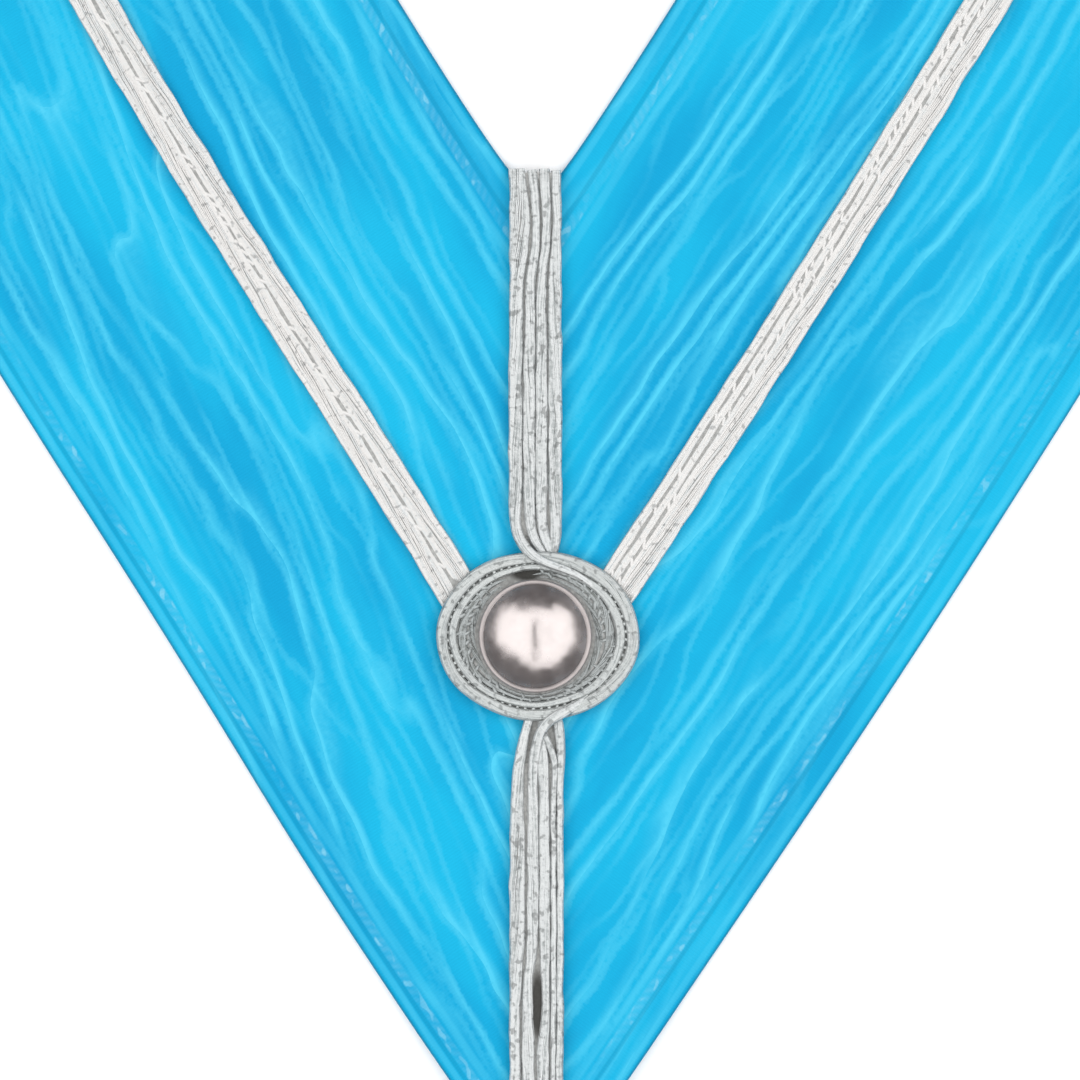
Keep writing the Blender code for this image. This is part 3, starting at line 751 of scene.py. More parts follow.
def thread_material(name, light, dull, metallic, fleck, strength=0.35):
    """Thread wound with flattened silver wire: pale, with a broken glint from its fine turns, and duller
    where it is rubbed. It is named for where it lies; the colours given for the centre braid and the rosette's inner
    turns hold painted light and shade."""
    material, tree, shader = new_material(name)
    place = add(tree, "ShaderNodeTexCoord").outputs["Object"]
    tone = add(tree, "ShaderNodeAttribute", attribute_name="tone").outputs["Fac"]
    along = add(tree, "ShaderNodeAttribute", attribute_name="along").outputs["Fac"]
    speck = add(tree, NOISE, {"Vector": place, "Scale": 1 / (0.9 * MM), "Detail": 2.0, "Roughness": 0.6})
    wear = add(tree, NOISE, {"Vector": place, "Scale": 1 / (9 * MM), "Detail": 2.0, "Roughness": 0.5})
    mixed = add(tree, MATH, (tone, 0.45, speck), operation="MULTIPLY_ADD")
    mixed = add(tree, MATH, (wear, 0.5, mixed), operation="MULTIPLY_ADD")
    share = add(tree, RANGE, (mixed, 0.68, 1.08, 0.0, 1.0), **SOFT)
    colour = add(tree, MIX, {"Factor": share, "A": rgba(dull), "B": rgba(light)}, data_type="RGBA")
    # The colour goes dark in small spots, scattered at random
    spots = add(tree, NOISE, {"Vector": place, "Scale": 1 / (1.2 * MM), "Detail": 1.0, "Roughness": 0.5})
    spots = add(tree, RANGE, (spots, fleck, fleck + 0.12, 0.0, 0.55), **SOFT)
    dark = tuple(channel * 0.35 for channel in dull)
    colour = add(tree, MIX, {"Factor": spots, "A": colour, "B": rgba(dark)}, data_type="RGBA")
    # The wire's turns are 0.15 mm apart; they are drawn four times coarser, so that they show
    turns = add(tree, MATH, (along, TAU / (0.6 * MM)), operation="MULTIPLY")
    turns = add(tree, MATH, (turns,), operation="SINE")
    relief = add(tree, MATH, (speck, 1.5, turns), operation="MULTIPLY_ADD")
    normal = add(tree, BUMP, {"Strength": strength, "Distance": 0.00005, "Height": relief})
    fill(tree, shader, {
        "Base Color": colour, "Normal": normal, "Metallic": metallic, "Roughness": 0.5,
        "Specular IOR Level": 0.4})
    return material


def ground_material(settings):
    """The cotton strip and filling under the threads: dull grey, hidden but for the gaps, and painted near-black
    as shade at the two spots where the cords stand apart."""
    material, tree, shader = new_material("braid_ground_cotton")
    place = add(tree, "ShaderNodeTexCoord").outputs["Object"]
    weave = add(tree, "ShaderNodeTexVoronoi", {"Vector": place, "Scale": 1 / (0.7 * MM)})
    share = add(tree, RANGE, (weave.outputs["Distance"], 0.1, 0.8, 1.0, 0.0))
    dark = tuple(channel * 0.7 for channel in settings.ground)
    colour = add(tree, MIX, {
        "Factor": share, "A": rgba(dark), "B": rgba(settings.ground)}, data_type="RGBA")
    # Painted shade: the ground is darkened where two gaps between the cords lie open
    for spot in SHADED_GAPS:
        middle = (spot.aside * MM, spot.forward * MM + POINT_Y, 0.0)
        off = add(tree, VECTOR_MATH, (place, middle), operation="SUBTRACT")
        off = add(tree, VECTOR_MATH, (off, (1 / (spot.half_wide * MM), 1 / (spot.half_long * MM), 0.0)),
                  operation="MULTIPLY")
        off = add(tree, VECTOR_MATH, (off,), operation="LENGTH")
        gap_shade = add(tree, RANGE, (off, 0.6, 1.2, 0.93, 0.0), **SOFT)
        colour = add(tree, MIX, {
            "Factor": gap_shade, "A": colour, "B": rgba(linear_colour(GAP_SHADE))}, data_type="RGBA")
    normal = add(tree, BUMP, {"Strength": 0.6, "Distance": 0.00015, "Height": share})
    fill(tree, shader, {
        "Base Color": colour, "Normal": normal, "Roughness": 0.85, "Specular IOR Level": 0.2})
    return material


def metal_material(name, colour, roughness, grain, dull_rim=False):
    """Plated or drawn metal: a clear reflection, softened by fine rubbing, with a few shallow dents. The
    button's rim is left dull by the brush."""
    material, tree, shader = new_material(name)
    place = add(tree, "ShaderNodeTexCoord").outputs["Object"]
    rubbed = add(tree, NOISE, {"Vector": place, "Scale": 1 / grain, "Detail": 3.0, "Roughness": 0.6})
    cast = add(tree, RANGE, (rubbed, 0.3, 0.7, 0.86, 1.0))
    if dull_rim:
        off = add(tree, VECTOR_MATH, (place, (0.0, ROSETTE_FORWARD + POINT_Y, 0.0)), operation="SUBTRACT")
        off = add(tree, VECTOR_MATH, (off, (1.0, 1.0, 0.0)), operation="MULTIPLY")
        off = add(tree, VECTOR_MATH, (off,), operation="LENGTH")
        rim = add(tree, RANGE, (off, DULL_FROM, DULL_FULL, 0.0, 0.5))
        cast = add(tree, MATH, (rim, -0.45, cast), operation="MULTIPLY_ADD")
    tinted = add(tree, VECTOR_MATH, {"Vector": tuple(colour), "Scale": cast}, operation="SCALE")
    rough = add(tree, RANGE, (rubbed, 0.3, 0.7, roughness * 0.8, roughness * 1.3))
    if dull_rim:
        rough = add(tree, MATH, (rough, rim), operation="MAXIMUM")
    dents = add(tree, NOISE, {"Vector": place, "Scale": 1 / (4.2 * MM), "Detail": 1.0, "Roughness": 0.5})
    normal = add(tree, BUMP, {"Strength": 0.35, "Distance": 0.0003, "Height": dents})
    fill(tree, shader, {"Base Color": tinted, "Normal": normal, "Roughness": rough, "Metallic": 1.0})
    return material


def stitch_material(name, light, deep):
    """Sewing thread: matt, twisted, a shade off the cloth it holds."""
    material, tree, shader = new_material(name)
    place = add(tree, "ShaderNodeTexCoord").outputs["Object"]
    speck = add(tree, NOISE, {"Vector": place, "Scale": 1 / (1.1 * MM), "Detail": 2.0, "Roughness": 0.6})
    share = add(tree, RANGE, (speck, 0.35, 0.65, 0.0, 1.0))
    colour = add(tree, MIX, {"Factor": share, "A": rgba(deep), "B": rgba(light)}, data_type="RGBA")
    fill(tree, shader, {"Base Color": colour, "Roughness": 0.6, "Specular IOR Level": 0.3})
    return material


def floor_material(settings):
    """Matt paper sweep, all but white, with a trace of mottling."""
    material, tree, shader = new_material("paper_sweep")
    place = add(tree, "ShaderNodeTexCoord").outputs["Object"]
    mottle = add(tree, NOISE, {"Vector": place, "Scale": 14.0, "Detail": 2.0, "Roughness": 0.5})
    level = add(tree, RANGE, (mottle, 0.2, 0.8, 0.99, 1.0))
    tinted = add(tree, VECTOR_MATH, {"Vector": tuple(settings.floor), "Scale": level}, operation="SCALE")
    fill(tree, shader, {"Base Color": tinted, "Roughness": 1.0, "Specular IOR Level": 0.0})
    return material


# Geometry node trees


def new_tree(name, sizes):
    """An empty geometry tree with named inputs, and the nodes at its two ends."""
    tree = bpy.data.node_groups.new(name, "GeometryNodeTree")
    tree.interface.new_socket("Geometry", in_out="INPUT", socket_type="NodeSocketGeometry")
    for word, (kind, value) in sizes.items():
        socket = tree.interface.new_socket(word, in_out="INPUT", socket_type=f"NodeSocket{kind}")
        if value is not None:
            socket.default_value = value
    tree.interface.new_socket("Geometry", in_out="OUTPUT", socket_type="NodeSocketGeometry")
    return tree, add(tree, "NodeGroupInput").outputs, add(tree, "NodeGroupOutput")


def laid_threads_tree():
    """Turns each bare line into a flattened cord of threads that wind slowly round it."""
    if "laid_threads" in bpy.data.node_groups:
        return bpy.data.node_groups["laid_threads"]
    tree, given, result = new_tree("laid_threads", {
        "Thread": ("Float", 0.00034), "Spacing": ("Float", 0.80), "Wander": ("Float", 0.5),
        "Seed": ("Float", 0.0), "Material": ("Material", None)})
    lines = add(tree, "GeometryNodeMeshToCurve", (given["Geometry"],))
    sizes = {
        word: add(tree, "GeometryNodeInputNamedAttribute", (word,), data_type="FLOAT")
        for word in ("half_width", "half_height", "turns", "cord")}
    round_it = add(tree, MATH, (sizes["half_width"], sizes["half_height"]), operation="ADD")
    threads = add(tree, MATH, (round_it, 4.0), operation="MULTIPLY")
    pitch = add(tree, MATH, (given["Thread"], given["Spacing"]), operation="MULTIPLY")
    threads = add(tree, MATH, (threads, pitch), operation="DIVIDE")
    whole = add(tree, MATH, (threads,), operation="ROUND")
    counted = add(tree, "GeometryNodeStoreNamedAttribute", {
        "Geometry": lines, "Name": "threads", "Value": whole}, data_type="FLOAT", domain="CURVE")
    whole = add(tree, "GeometryNodeInputNamedAttribute", ("threads",), data_type="FLOAT")
    copies = add(tree, "GeometryNodeDuplicateElements", {
        "Geometry": counted, "Amount": whole}, domain="SPLINE")
    number = copies.outputs["Duplicate Index"]
    name = add(tree, MATH, (sizes["cord"], 67.0, number), operation="MULTIPLY_ADD")
    name = add(tree, MATH, (name, given["Seed"]), operation="ADD")
    length = add(tree, "GeometryNodeSplineParameter").outputs["Length"]
    place = add(tree, "GeometryNodeInputPosition")
    seed = add(tree, MATH, (name, 5.17), operation="MULTIPLY")
    stray = add(tree, NOISE, {
        "Vector": place, "W": seed, "Scale": 1 / (6 * MM), "Detail": 2.0}, noise_dimensions="4D")
    stray = add(tree, MATH, (stray, 0.5), operation="SUBTRACT")
    turn = add(tree, MATH, (length, sizes["turns"]), operation="MULTIPLY")
    share = add(tree, MATH, (number, whole), operation="DIVIDE")
    turn = add(tree, MATH, (turn, share), operation="ADD")
    turn = add(tree, MATH, (turn, TAU), operation="MULTIPLY")
    turn = add(tree, MATH, (stray, given["Wander"], turn), operation="MULTIPLY_ADD")
    sides = []
    for operation, squareness in zip(("COSINE", "SINE"), CORD_SQUARENESS):
        wave = add(tree, MATH, (turn,), operation=operation)
        sign = add(tree, MATH, (wave,), operation="SIGN")
        size = add(tree, MATH, (wave,), operation="ABSOLUTE")
        size = add(tree, MATH, (size, squareness), operation="POWER")
        sides.append(add(tree, MATH, (sign, size), operation="MULTIPLY"))
    half_thread = add(tree, MATH, (given["Thread"], 0.5), operation="MULTIPLY")
    tangent = add(tree, "GeometryNodeInputTangent")
    sideways = add(tree, VECTOR_MATH, ((0.0, 0.0, 1.0), tangent), operation="CROSS_PRODUCT")
    sideways = add(tree, VECTOR_MATH, (sideways,), operation="NORMALIZE")
    upwards = add(tree, VECTOR_MATH, (tangent, sideways), operation="CROSS_PRODUCT")
    moves = []
    for direction, size, side in ((sideways, "half_width", sides[0]), (upwards, "half_height", sides[1])):
        reach = add(tree, MATH, (sizes[size], half_thread), operation="SUBTRACT")
        reach = add(tree, MATH, (reach, side), operation="MULTIPLY")
        moves.append(add(tree, VECTOR_MATH, {"Vector": direction, "Scale": reach}, operation="SCALE"))
    move = add(tree, VECTOR_MATH, moves, operation="ADD")
    moved = add(tree, "GeometryNodeSetPosition", {"Geometry": copies, "Offset": move})
    tone = add(tree, "FunctionNodeRandomValue", {
        "Min": 0.0, "Max": 1.0, "ID": name, "Seed": 3}, data_type="FLOAT")
    toned = add(tree, "GeometryNodeStoreNamedAttribute", {
        "Geometry": moved, "Name": "tone", "Value": tone}, data_type="FLOAT", domain="POINT")
    marked = add(tree, "GeometryNodeStoreNamedAttribute", {
        "Geometry": toned, "Name": "along", "Value": length}, data_type="FLOAT", domain="POINT")
    thick = add(tree, RANGE, (tone, 0.0, 1.0, 0.88, 1.12))
    thick = add(tree, MATH, (thick, half_thread), operation="MULTIPLY")
    profile = add(tree, "GeometryNodeCurvePrimitiveCircle", {"Resolution": 4, "Radius": 1.0})
    tubes = add(tree, "GeometryNodeCurveToMesh", {
        "Curve": marked, "Profile Curve": profile, "Scale": thick, "Fill Caps": True})
    smooth = add(tree, "GeometryNodeSetShadeSmooth", {"Geometry": tubes})
    real = add(tree, "GeometryNodeRealizeInstances", {"Geometry": smooth})
    coated = add(tree, "GeometryNodeSetMaterial", {"Geometry": real, "Material": given["Material"]})
    fill(tree, result, {"Geometry": coated})
    return tree


def stitches_tree():
    """Sets small arched stitches along each bare line, turned from it by an angle."""
    if "stitches" in bpy.data.node_groups:
        return bpy.data.node_groups["stitches"]
    tree, given, result = new_tree("stitches", {
        "Pitch": ("Float", 0.003), "Length": ("Float", 0.002), "Thread": ("Float", 0.0003),
        "Arch": ("Float", 0.0003), "Angle": ("Float", 0.0), "Unevenness": ("Float", 0.2),
        "Left out": ("Float", 0.0), "Seed": ("Int", 1), "Material": ("Material", None)})
    lines = add(tree, "GeometryNodeMeshToCurve", (given["Geometry"],))
    spaced = add(tree, "GeometryNodeResampleCurve", {"Curve": lines, "Length": given["Pitch"]}, mode="LENGTH")
    chance = add(tree, "FunctionNodeRandomValue", {
        "Min": 0.0, "Max": 1.0, "Seed": given["Seed"]}, data_type="FLOAT")
    kept = add(tree, MATH, (chance, given["Left out"]), operation="GREATER_THAN")
    ends = []
    for side in (-0.5, 0.0, 0.5):
        reach = add(tree, MATH, (given["Length"], side), operation="MULTIPLY")
        height = 0.0 if side else add(tree, MATH, (given["Arch"], 2.0), operation="MULTIPLY")
        ends.append(add(tree, "ShaderNodeCombineXYZ", (reach, 0.0, height)))
    arch = add(tree, "GeometryNodeCurveQuadraticBezier", {
        "Resolution": 6, "Start": ends[0], "Middle": ends[1], "End": ends[2]})
    half = add(tree, MATH, (given["Thread"], 0.5), operation="MULTIPLY")
    profile = add(tree, "GeometryNodeCurvePrimitiveCircle", {"Resolution": 5, "Radius": half})
    stitch = add(tree, "GeometryNodeCurveToMesh", {
        "Curve": arch, "Profile Curve": profile, "Fill Caps": True})
    tangent = add(tree, "GeometryNodeInputTangent")
    turned = add(tree, "FunctionNodeAlignRotationToVector", {"Vector": tangent}, axis="X", pivot_axis="Z")
    spread = add(tree, "FunctionNodeRandomValue", {
        "Min": -1.0, "Max": 1.0, "Seed": given["Seed"]}, data_type="FLOAT")
    angle = add(tree, MATH, (spread, given["Unevenness"], given["Angle"]), operation="MULTIPLY_ADD")
    twist = add(tree, "ShaderNodeCombineXYZ", (0.0, 0.0, angle))
    twist = add(tree, "FunctionNodeEulerToRotation", (twist,))
    turned = add(tree, "FunctionNodeRotateRotation", (turned, twist), rotation_space="LOCAL")
    scale = add(tree, MATH, (spread, given["Unevenness"], 1.0), operation="MULTIPLY_ADD")
    laid = add(tree, "GeometryNodeInstanceOnPoints", {
        "Points": spaced, "Selection": kept, "Instance": stitch, "Rotation": turned, "Scale": scale})
    real = add(tree, "GeometryNodeRealizeInstances", {"Geometry": laid})
    smooth = add(tree, "GeometryNodeSetShadeSmooth", {"Geometry": real})
    toned = add(tree, "GeometryNodeStoreNamedAttribute", {
        "Geometry": smooth, "Name": "tone", "Value": 0.75}, data_type="FLOAT", domain="POINT")
    coated = add(tree, "GeometryNodeSetMaterial", {"Geometry": toned, "Material": given["Material"]})
    fill(tree, result, {"Geometry": coated})
    return tree


def grow(thing, tree, values):
    """Run a tree on an object and keep the result as its plain mesh."""
    modifier = thing.modifiers.new(tree.name, "NODES")
    modifier.node_group = tree
    for item in tree.interface.items_tree:
        if item.in_out == "INPUT" and item.name in values:
            modifier[item.identifier] = values[item.name]
    graph = bpy.context.evaluated_depsgraph_get()
    mesh = bpy.data.meshes.new_from_object(
        thing.evaluated_get(graph), preserve_all_data_layers=True, depsgraph=graph)
    thing.modifiers.remove(modifier)
    mesh.materials.clear()
    mesh.materials.append(values["Material"])
    if "material_index" in mesh.attributes:
        mesh.attributes.remove(mesh.attributes["material_index"])
    bare, thing.data = thing.data, mesh
    mesh.name = thing.name
    bpy.data.meshes.remove(bare)
    return thing


# Meshes


class Cord(NamedTuple):
    """The middle line of one cord, with its size and how its threads turn, per metre."""
    points: np.ndarray
    half_width: np.ndarray
    half_height: np.ndarray
    turns: float
    closed: bool = False


def add_piece(name, mesh):
    """Put a finished mesh in the scene as a piece."""
    piece = bpy.data.objects.new(name, mesh)
    bpy.context.scene.collection.objects.link(piece)
    return piece


def settle(piece, slot, *replaced):
    """Tie a finished piece to the collar and hide the frame's parts that it stands for. Its slot is not used."""
    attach(piece, BODY)
    if replaced:
        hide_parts(*replaced)
    return piece


def keep_field(mesh, word, values):
    """Keep one number for each point of a mesh."""
    attribute = mesh.attributes.new(word, "FLOAT", "POINT")
    attribute.data.foreach_set("value", np.ravel(values).astype(np.float32))


def bare_lines(name, cords):
    """An object of bare lines, one for each cord, that carries their sizes as attributes."""
    rows = {"half_width": [], "half_height": [], "turns": [], "cord": []}
    edges = []
    start = 0
    for number, cord in enumerate(cords):
        count = len(cord.points)
        steps = range(start, start + count - 1)
        edges += [(step, step + 1) for step in steps]
        if cord.closed:
            edges.append((start + count - 1, start))
        rows["half_width"].append(np.broadcast_to(cord.half_width, count))
        rows["half_height"].append(np.broadcast_to(cord.half_height, count))
        rows["turns"].append(np.full(count, cord.turns))
        rows["cord"].append(np.full(count, float(number)))
        start += count
    mesh = bpy.data.meshes.new(name)
    mesh.from_pydata(on_frame(np.concatenate([cord.points for cord in cords])).tolist(), edges, [])
    for word, values in rows.items():
        keep_field(mesh, word, np.concatenate(values))
    return add_piece(name, mesh)


def loft_into(build, rings, closed=False):
    """Skin a row of closed rings, capped at both ends unless the row closes on itself."""
    stations, corners = rings.shape[:2]
    verts = [build.verts.new(corner) for corner in on_frame(rings).reshape(-1, 3)]
    for station in range(stations if closed else stations - 1):
        near, far = station * corners, (station + 1) % stations * corners
        for corner in range(corners):
            after = (corner + 1) % corners
            places = (near + corner, near + after, far + after, far + corner)
            build.faces.new([verts[place] for place in places])
    if not closed:
        build.faces.new(verts[:corners])
        build.faces.new(verts[-corners:])


def built_mesh(name, build, material, sharp):
    """Turn a form's faces outwards and make it a mesh, smooth but for edges sharper than an angle."""
    bmesh.ops.recalc_face_normals(build, faces=build.faces)
    mesh = bpy.data.meshes.new(name)
    build.to_mesh(mesh)
    build.free()
    mesh.materials.append(material)
    mesh.shade_smooth()
    mesh.set_sharp_from_angle(angle=sharp)
    return mesh


def loft_mesh(name, parts, material, closed=False):
    """A mesh of one or several lofted forms, with its faces turned outwards."""
    build = bmesh.new()
    for rings in parts:
        loft_into(build, rings, closed)
    return built_mesh(name, build, material, math.radians(50))


def core_rings(cord):
    """The filling inside one cord, a little smaller than its threads."""
    ahead = np.gradient(cord.points, axis=0)
    if cord.closed:
        ahead = np.roll(cord.points, -1, axis=0) - np.roll(cord.points, 1, axis=0)
    aside = np.column_stack([-ahead[:, 1], ahead[:, 0], np.zeros(len(ahead))])
    aside /= np.linalg.norm(aside, axis=1)[:, None]
    turn = np.arange(CORE_CORNERS) * TAU / CORE_CORNERS
    wide, high = (
        np.sign(wave) * np.abs(wave) ** square
        for wave, square in zip((np.cos(turn), np.sin(turn)), CORD_SQUARENESS))
    half_width = np.broadcast_to(cord.half_width, len(ahead)) - CORE_INSET
    half_height = np.broadcast_to(cord.half_height, len(ahead)) - CORE_INSET
    rings = cord.points[:, None] + aside[:, None] * (half_width[:, None] * wide)[..., None]
    rings[..., 2] += half_height[:, None] * high
    return rings


RIBBON_STATIONS = 340
EDGE_STEPS = 8
EDGE_RUN_UNDER = 0.0009
EDGE_RUN_TOP = 0.0016

# Corners across the upper face, from where, to where and how far apart: close by the hem, wide on the
# plain cloth, and then how far from the middle and how many there are beside the braid
HEM_LANES = (EDGE_RUN_TOP + 0.0004, 0.0105, 0.00042)
PLAIN_LANES = (0.0122, HALF_RIBBON - 0.0080, 0.0019)
BRAID_LANES = (0.0072, -0.0072, 21)
UNDER_LANES = 20
UNDER_MARGIN = 0.004


def ribbon_section():
    """The ribbon's section once round: across shares, heights and which corners are on the upper face."""
    half = HALF_RIBBON
    turn = np.linspace(-math.pi / 2, math.pi / 2, EDGE_STEPS + 1)
    run = np.where(turn < 0, EDGE_RUN_UNDER, EDGE_RUN_TOP)
    edge = 1 - run * (1 - np.cos(turn)) / half
    edge_height = RIBBON_THICKNESS / 2 * (1 + np.sin(turn))
    inner = 1 - np.concatenate([np.arange(*HEM_LANES), np.arange(*PLAIN_LANES)]) / half
    middle = np.linspace(*BRAID_LANES) / half
    top = np.concatenate([inner, middle, -inner[::-1]])
    under = np.linspace(-1, 1, UNDER_LANES)[1:-1] * (1 - UNDER_MARGIN / half)
    across = np.concatenate([edge, top, -edge[::-1], under])
    height = np.concatenate([
        edge_height, np.full(len(top), RIBBON_THICKNESS), edge_height[::-1], np.zeros(len(under))])
    return across, height


def ribbon_mesh(word, material):
    """One ribbon half, finely lofted, with its weave laid along it and its edge distances kept."""
    lie = LIES[word]
    path = ribbon_path(lie)
    section, heights = ribbon_section()
    rings = np.zeros((RIBBON_STATIONS, len(section), 3))
    alongs = np.zeros((RIBBON_STATIONS, len(section)))
    halves = np.zeros((RIBBON_STATIONS, len(section)))
    for corner, across in enumerate(section):
        points = path.points + path.inwards * (across * path.half_width)[:, None]
        points = eased_notch(points, across)
        room = points[:, 0] * lie.side - CLOTH_SEAM_CLEAR
        spots, line = cut_to(path.along, points, room, RIBBON_STATIONS)
        alongs[:, corner] = spots
        halves[:, corner] = np.interp(spots, path.along, path.half_width)
        rings[:, corner, :2] = line
    top = cloth_top(lie, alongs, rings[..., :2], section, halves)
    share = heights / RIBBON_THICKNESS
    rings[..., 2] = tip_lift(rings[..., 1]) * (1 - share) + top * share
    mesh = loft_mesh(f"ribbon_cloth_{word}", [rings], material)
    keep_field(mesh, "edge", (1 - np.abs(section)) * halves)
    keep_field(mesh, "hem", hem_distance(lie, np.broadcast_to(section, halves.shape), halves))
    slanted = section * halves - lie.slant * alongs
    weave = np.stack([alongs + lie.cloth_shift, slanted], axis=-1).reshape(-1, 2)
    corner_verts = np.zeros(len(mesh.loops), np.int32)
    mesh.loops.foreach_get("vertex_index", corner_verts)
    layer = mesh.uv_layers.new(name="weave")
    layer.uv.foreach_set("vector", weave[corner_verts].astype(np.float32).ravel())
    lengths = alongs[-1] - alongs[0]
    return mesh, float(lengths.max()), float(lengths.mean())


def band_rings(path, lanes, room, stations):
    """A thin flat strip whose section is given as pairs of a distance inwards and a height."""
    rings = np.zeros((stations, len(lanes), 3))
    for corner, (inwards, height) in enumerate(lanes):
        points = path.points + path.inwards * inwards
        _, line = cut_to(path.along, points, room(points[:, 0], points[:, 1]), stations)
        rings[:, corner, :2] = line
        rings[:, corner, 2] = height + tip_lift(line[:, 1])
    return rings


def side_cords(word, step):
    """The cords of one side braid, from under the rosette's edge round to the back seam."""
    lie = LIES[word]
    path = ribbon_path(lie)
    cords = []
    for number, place in enumerate(lie.cords):
        seed = 20 * number + lie.side + 2
        drift = 0.10 * MM * ripple(path.along, seed, 0.031) + 0.07 * MM * ripple(path.along, seed + 3, 0.011)
        points = path.points + path.inwards * (lie.braid_inwards + place.aside + drift)[:, None]
        x, y = points.T
        room = np.minimum(x * lie.side - CORD_SEAM_CLEAR, outside_rosette(x, y, -CORD_TUCK))
        length = path.along[-1] - path.along[0]
        spots, line = cut_to(path.along, points, room, round(length / step))
        pressed = 1 - 0.3 * (1 - smooth_step(spots - spots[0], 0.0, 0.004))
        half_height = SIDE_BRAID_HEIGHT / 2 * pressed
        half_width = place.half_width * (1 + 0.05 * ripple(spots, seed + 7, 0.017))
        line = np.column_stack([line, BRAID_BASE + half_height])
        cords.append(Cord(line, half_width, half_height, place.turns))
    return cords


def centre_cords(word, step):
    """The cords of the centre braid, from their cut ends along the seam to where they meet the rosette."""
    cords = []
    for number, knots in enumerate(UPPER_CORDS if word == "upper" else LOWER_CORDS):
        line = smooth_route(np.array(knots) * MM, step)
        along = measure(line[:, :2])
        straight = smooth_step(np.abs(line[:, 1] - ROSETTE_FORWARD), 0.022, 0.034)
        line[:, 0] += 0.10 * MM * ripple(along, 40 + number, 0.013) * straight
        half_width = line[:, 2] * (1 + 0.05 * ripple(along, 60 + number, 0.009))
        half_height = CENTRE_BRAID_HEIGHT / 2 * (0.70 + 0.30 * smooth_step(along, 0.0, 0.003))
        height = BRAID_BASE + half_height + line[:, 3] + tip_lift(line[:, 1])
        points = np.column_stack([line[:, :2], height])
        cords.append(Cord(points, half_width, half_height, CENTRE_TURNS * (-1) ** number))
    return cords


def rosette_sides(turn):
    """The rosette's oval outline and a line just outside the button's rim, at the same turns."""
    facing = np.stack([np.cos(turn), np.sin(turn)], axis=1)
    outline = facing * [ROSETTE_HALF_WIDTH, ROSETTE_HALF_LENGTH] + [ROSETTE_ASIDE, ROSETTE_FORWARD]
    return outline, facing * (BUTTON_RADIUS + GAP) + [0.0, ROSETTE_FORWARD]


def ring_cords(rows, step):
    """The turns of the rosette, each a closed cord between the oval outline and the button's rim."""
    cords = []
    turn = np.linspace(0, TAU, ROSETTE_CORNERS)
    outline, rim = rosette_sides(turn)
    inwards = rim - outline
    room = np.linalg.norm(inwards, axis=1)
    endwise = np.sin(turn) ** 2
    for number, row in enumerate(rows):
        middle = row.middle_side + (row.middle_end - row.middle_side) * endwise
        half = (row.half_side + (row.half_end - row.half_side) * endwise) * room
        sway = 0.06 * MM * (np.sin(5 * turn + 2 * number) + np.sin(8 * turn + 5 * number))
        slack = bump(turn - RING_SLACK, SLACK_WIDE) * (row.middle_side > 0.5)
        line = outline + inwards * (middle + 0.12 * slack + sway / room)[:, None]
        half = half * (1 - 0.75 * slack)
        height = row.height / 2 * (1 - 0.5 * slack)
        measured = measure(line)
        count = round(measured[-1] / step)
        spots = np.linspace(0, measured[-1], count, endpoint=False)
        flat = placed(spots, measured, line)
        half_width = np.interp(spots, measured, half)
        half_height = np.interp(spots, measured, height)
        points = np.column_stack([flat, BRAID_BASE + half_height])
        cords.append(Cord(points, half_width, half_height, row.turns / measured[-1], closed=True))
    return cords


def ring_line(side_share, end_share, height, count=180, clear=0.0):
    """A line round the rosette at a share of the way in from its outline, closed or clear of the slack."""
    turn = np.linspace(RING_SLACK + clear, RING_SLACK + TAU - clear, count, endpoint=False)
    outline, rim = rosette_sides(turn)
    share = side_share + (end_share - side_share) * np.sin(turn) ** 2
    flat = outline + (rim - outline) * share[:, None]
    return np.column_stack([flat, np.full(count, BRAID_BASE + height)])


def make_cords(name, cords, material, settings, seed, wander=0.28):
    """Turn bare cord lines into bundles of wound threads."""
    bare = bare_lines(name, cords)
    return grow(bare, laid_threads_tree(), {
        "Thread": settings.thread, "Wander": wander, "Seed": float(seed), "Material": material})


def side_ground(word):
    """The woven strip that the side braid's cords lie on."""
    lie = LIES[word]
    path = ribbon_path(lie)
    low = min(place.aside - place.half_width for place in lie.cords) + GROUND_INSET
    high = max(place.aside + place.half_width for place in lie.cords) - GROUND_INSET
    lanes = [
        (lie.braid_inwards + low, GROUND_LOW), (lie.braid_inwards + high, GROUND_LOW),
        (lie.braid_inwards + high, GROUND_HIGH), (lie.braid_inwards + low, GROUND_HIGH)]

    def room(x, y):
        return np.minimum(x * lie.side - GROUND_SEAM_CLEAR, outside_rosette(x, y, -GROUND_TUCK))

    return band_rings(path, lanes, room, 260)


class Strip(NamedTuple):
    """A straight strip of ground under the centre braid: its two sides and its two ends."""
    left: float
    right: float
    near: float
    far: float


CENTRE_STRIPS = {
    "upper": (Strip(-0.0042, 0.0042, 0.1262, 0.1944), Strip(-0.0023, 0.0033, 0.1232, 0.1275)),
    "lower": (Strip(-0.0038, 0.0046, 0.0035, 0.0835), Strip(-0.0020, 0.0044, 0.0820, 0.0914)),
}


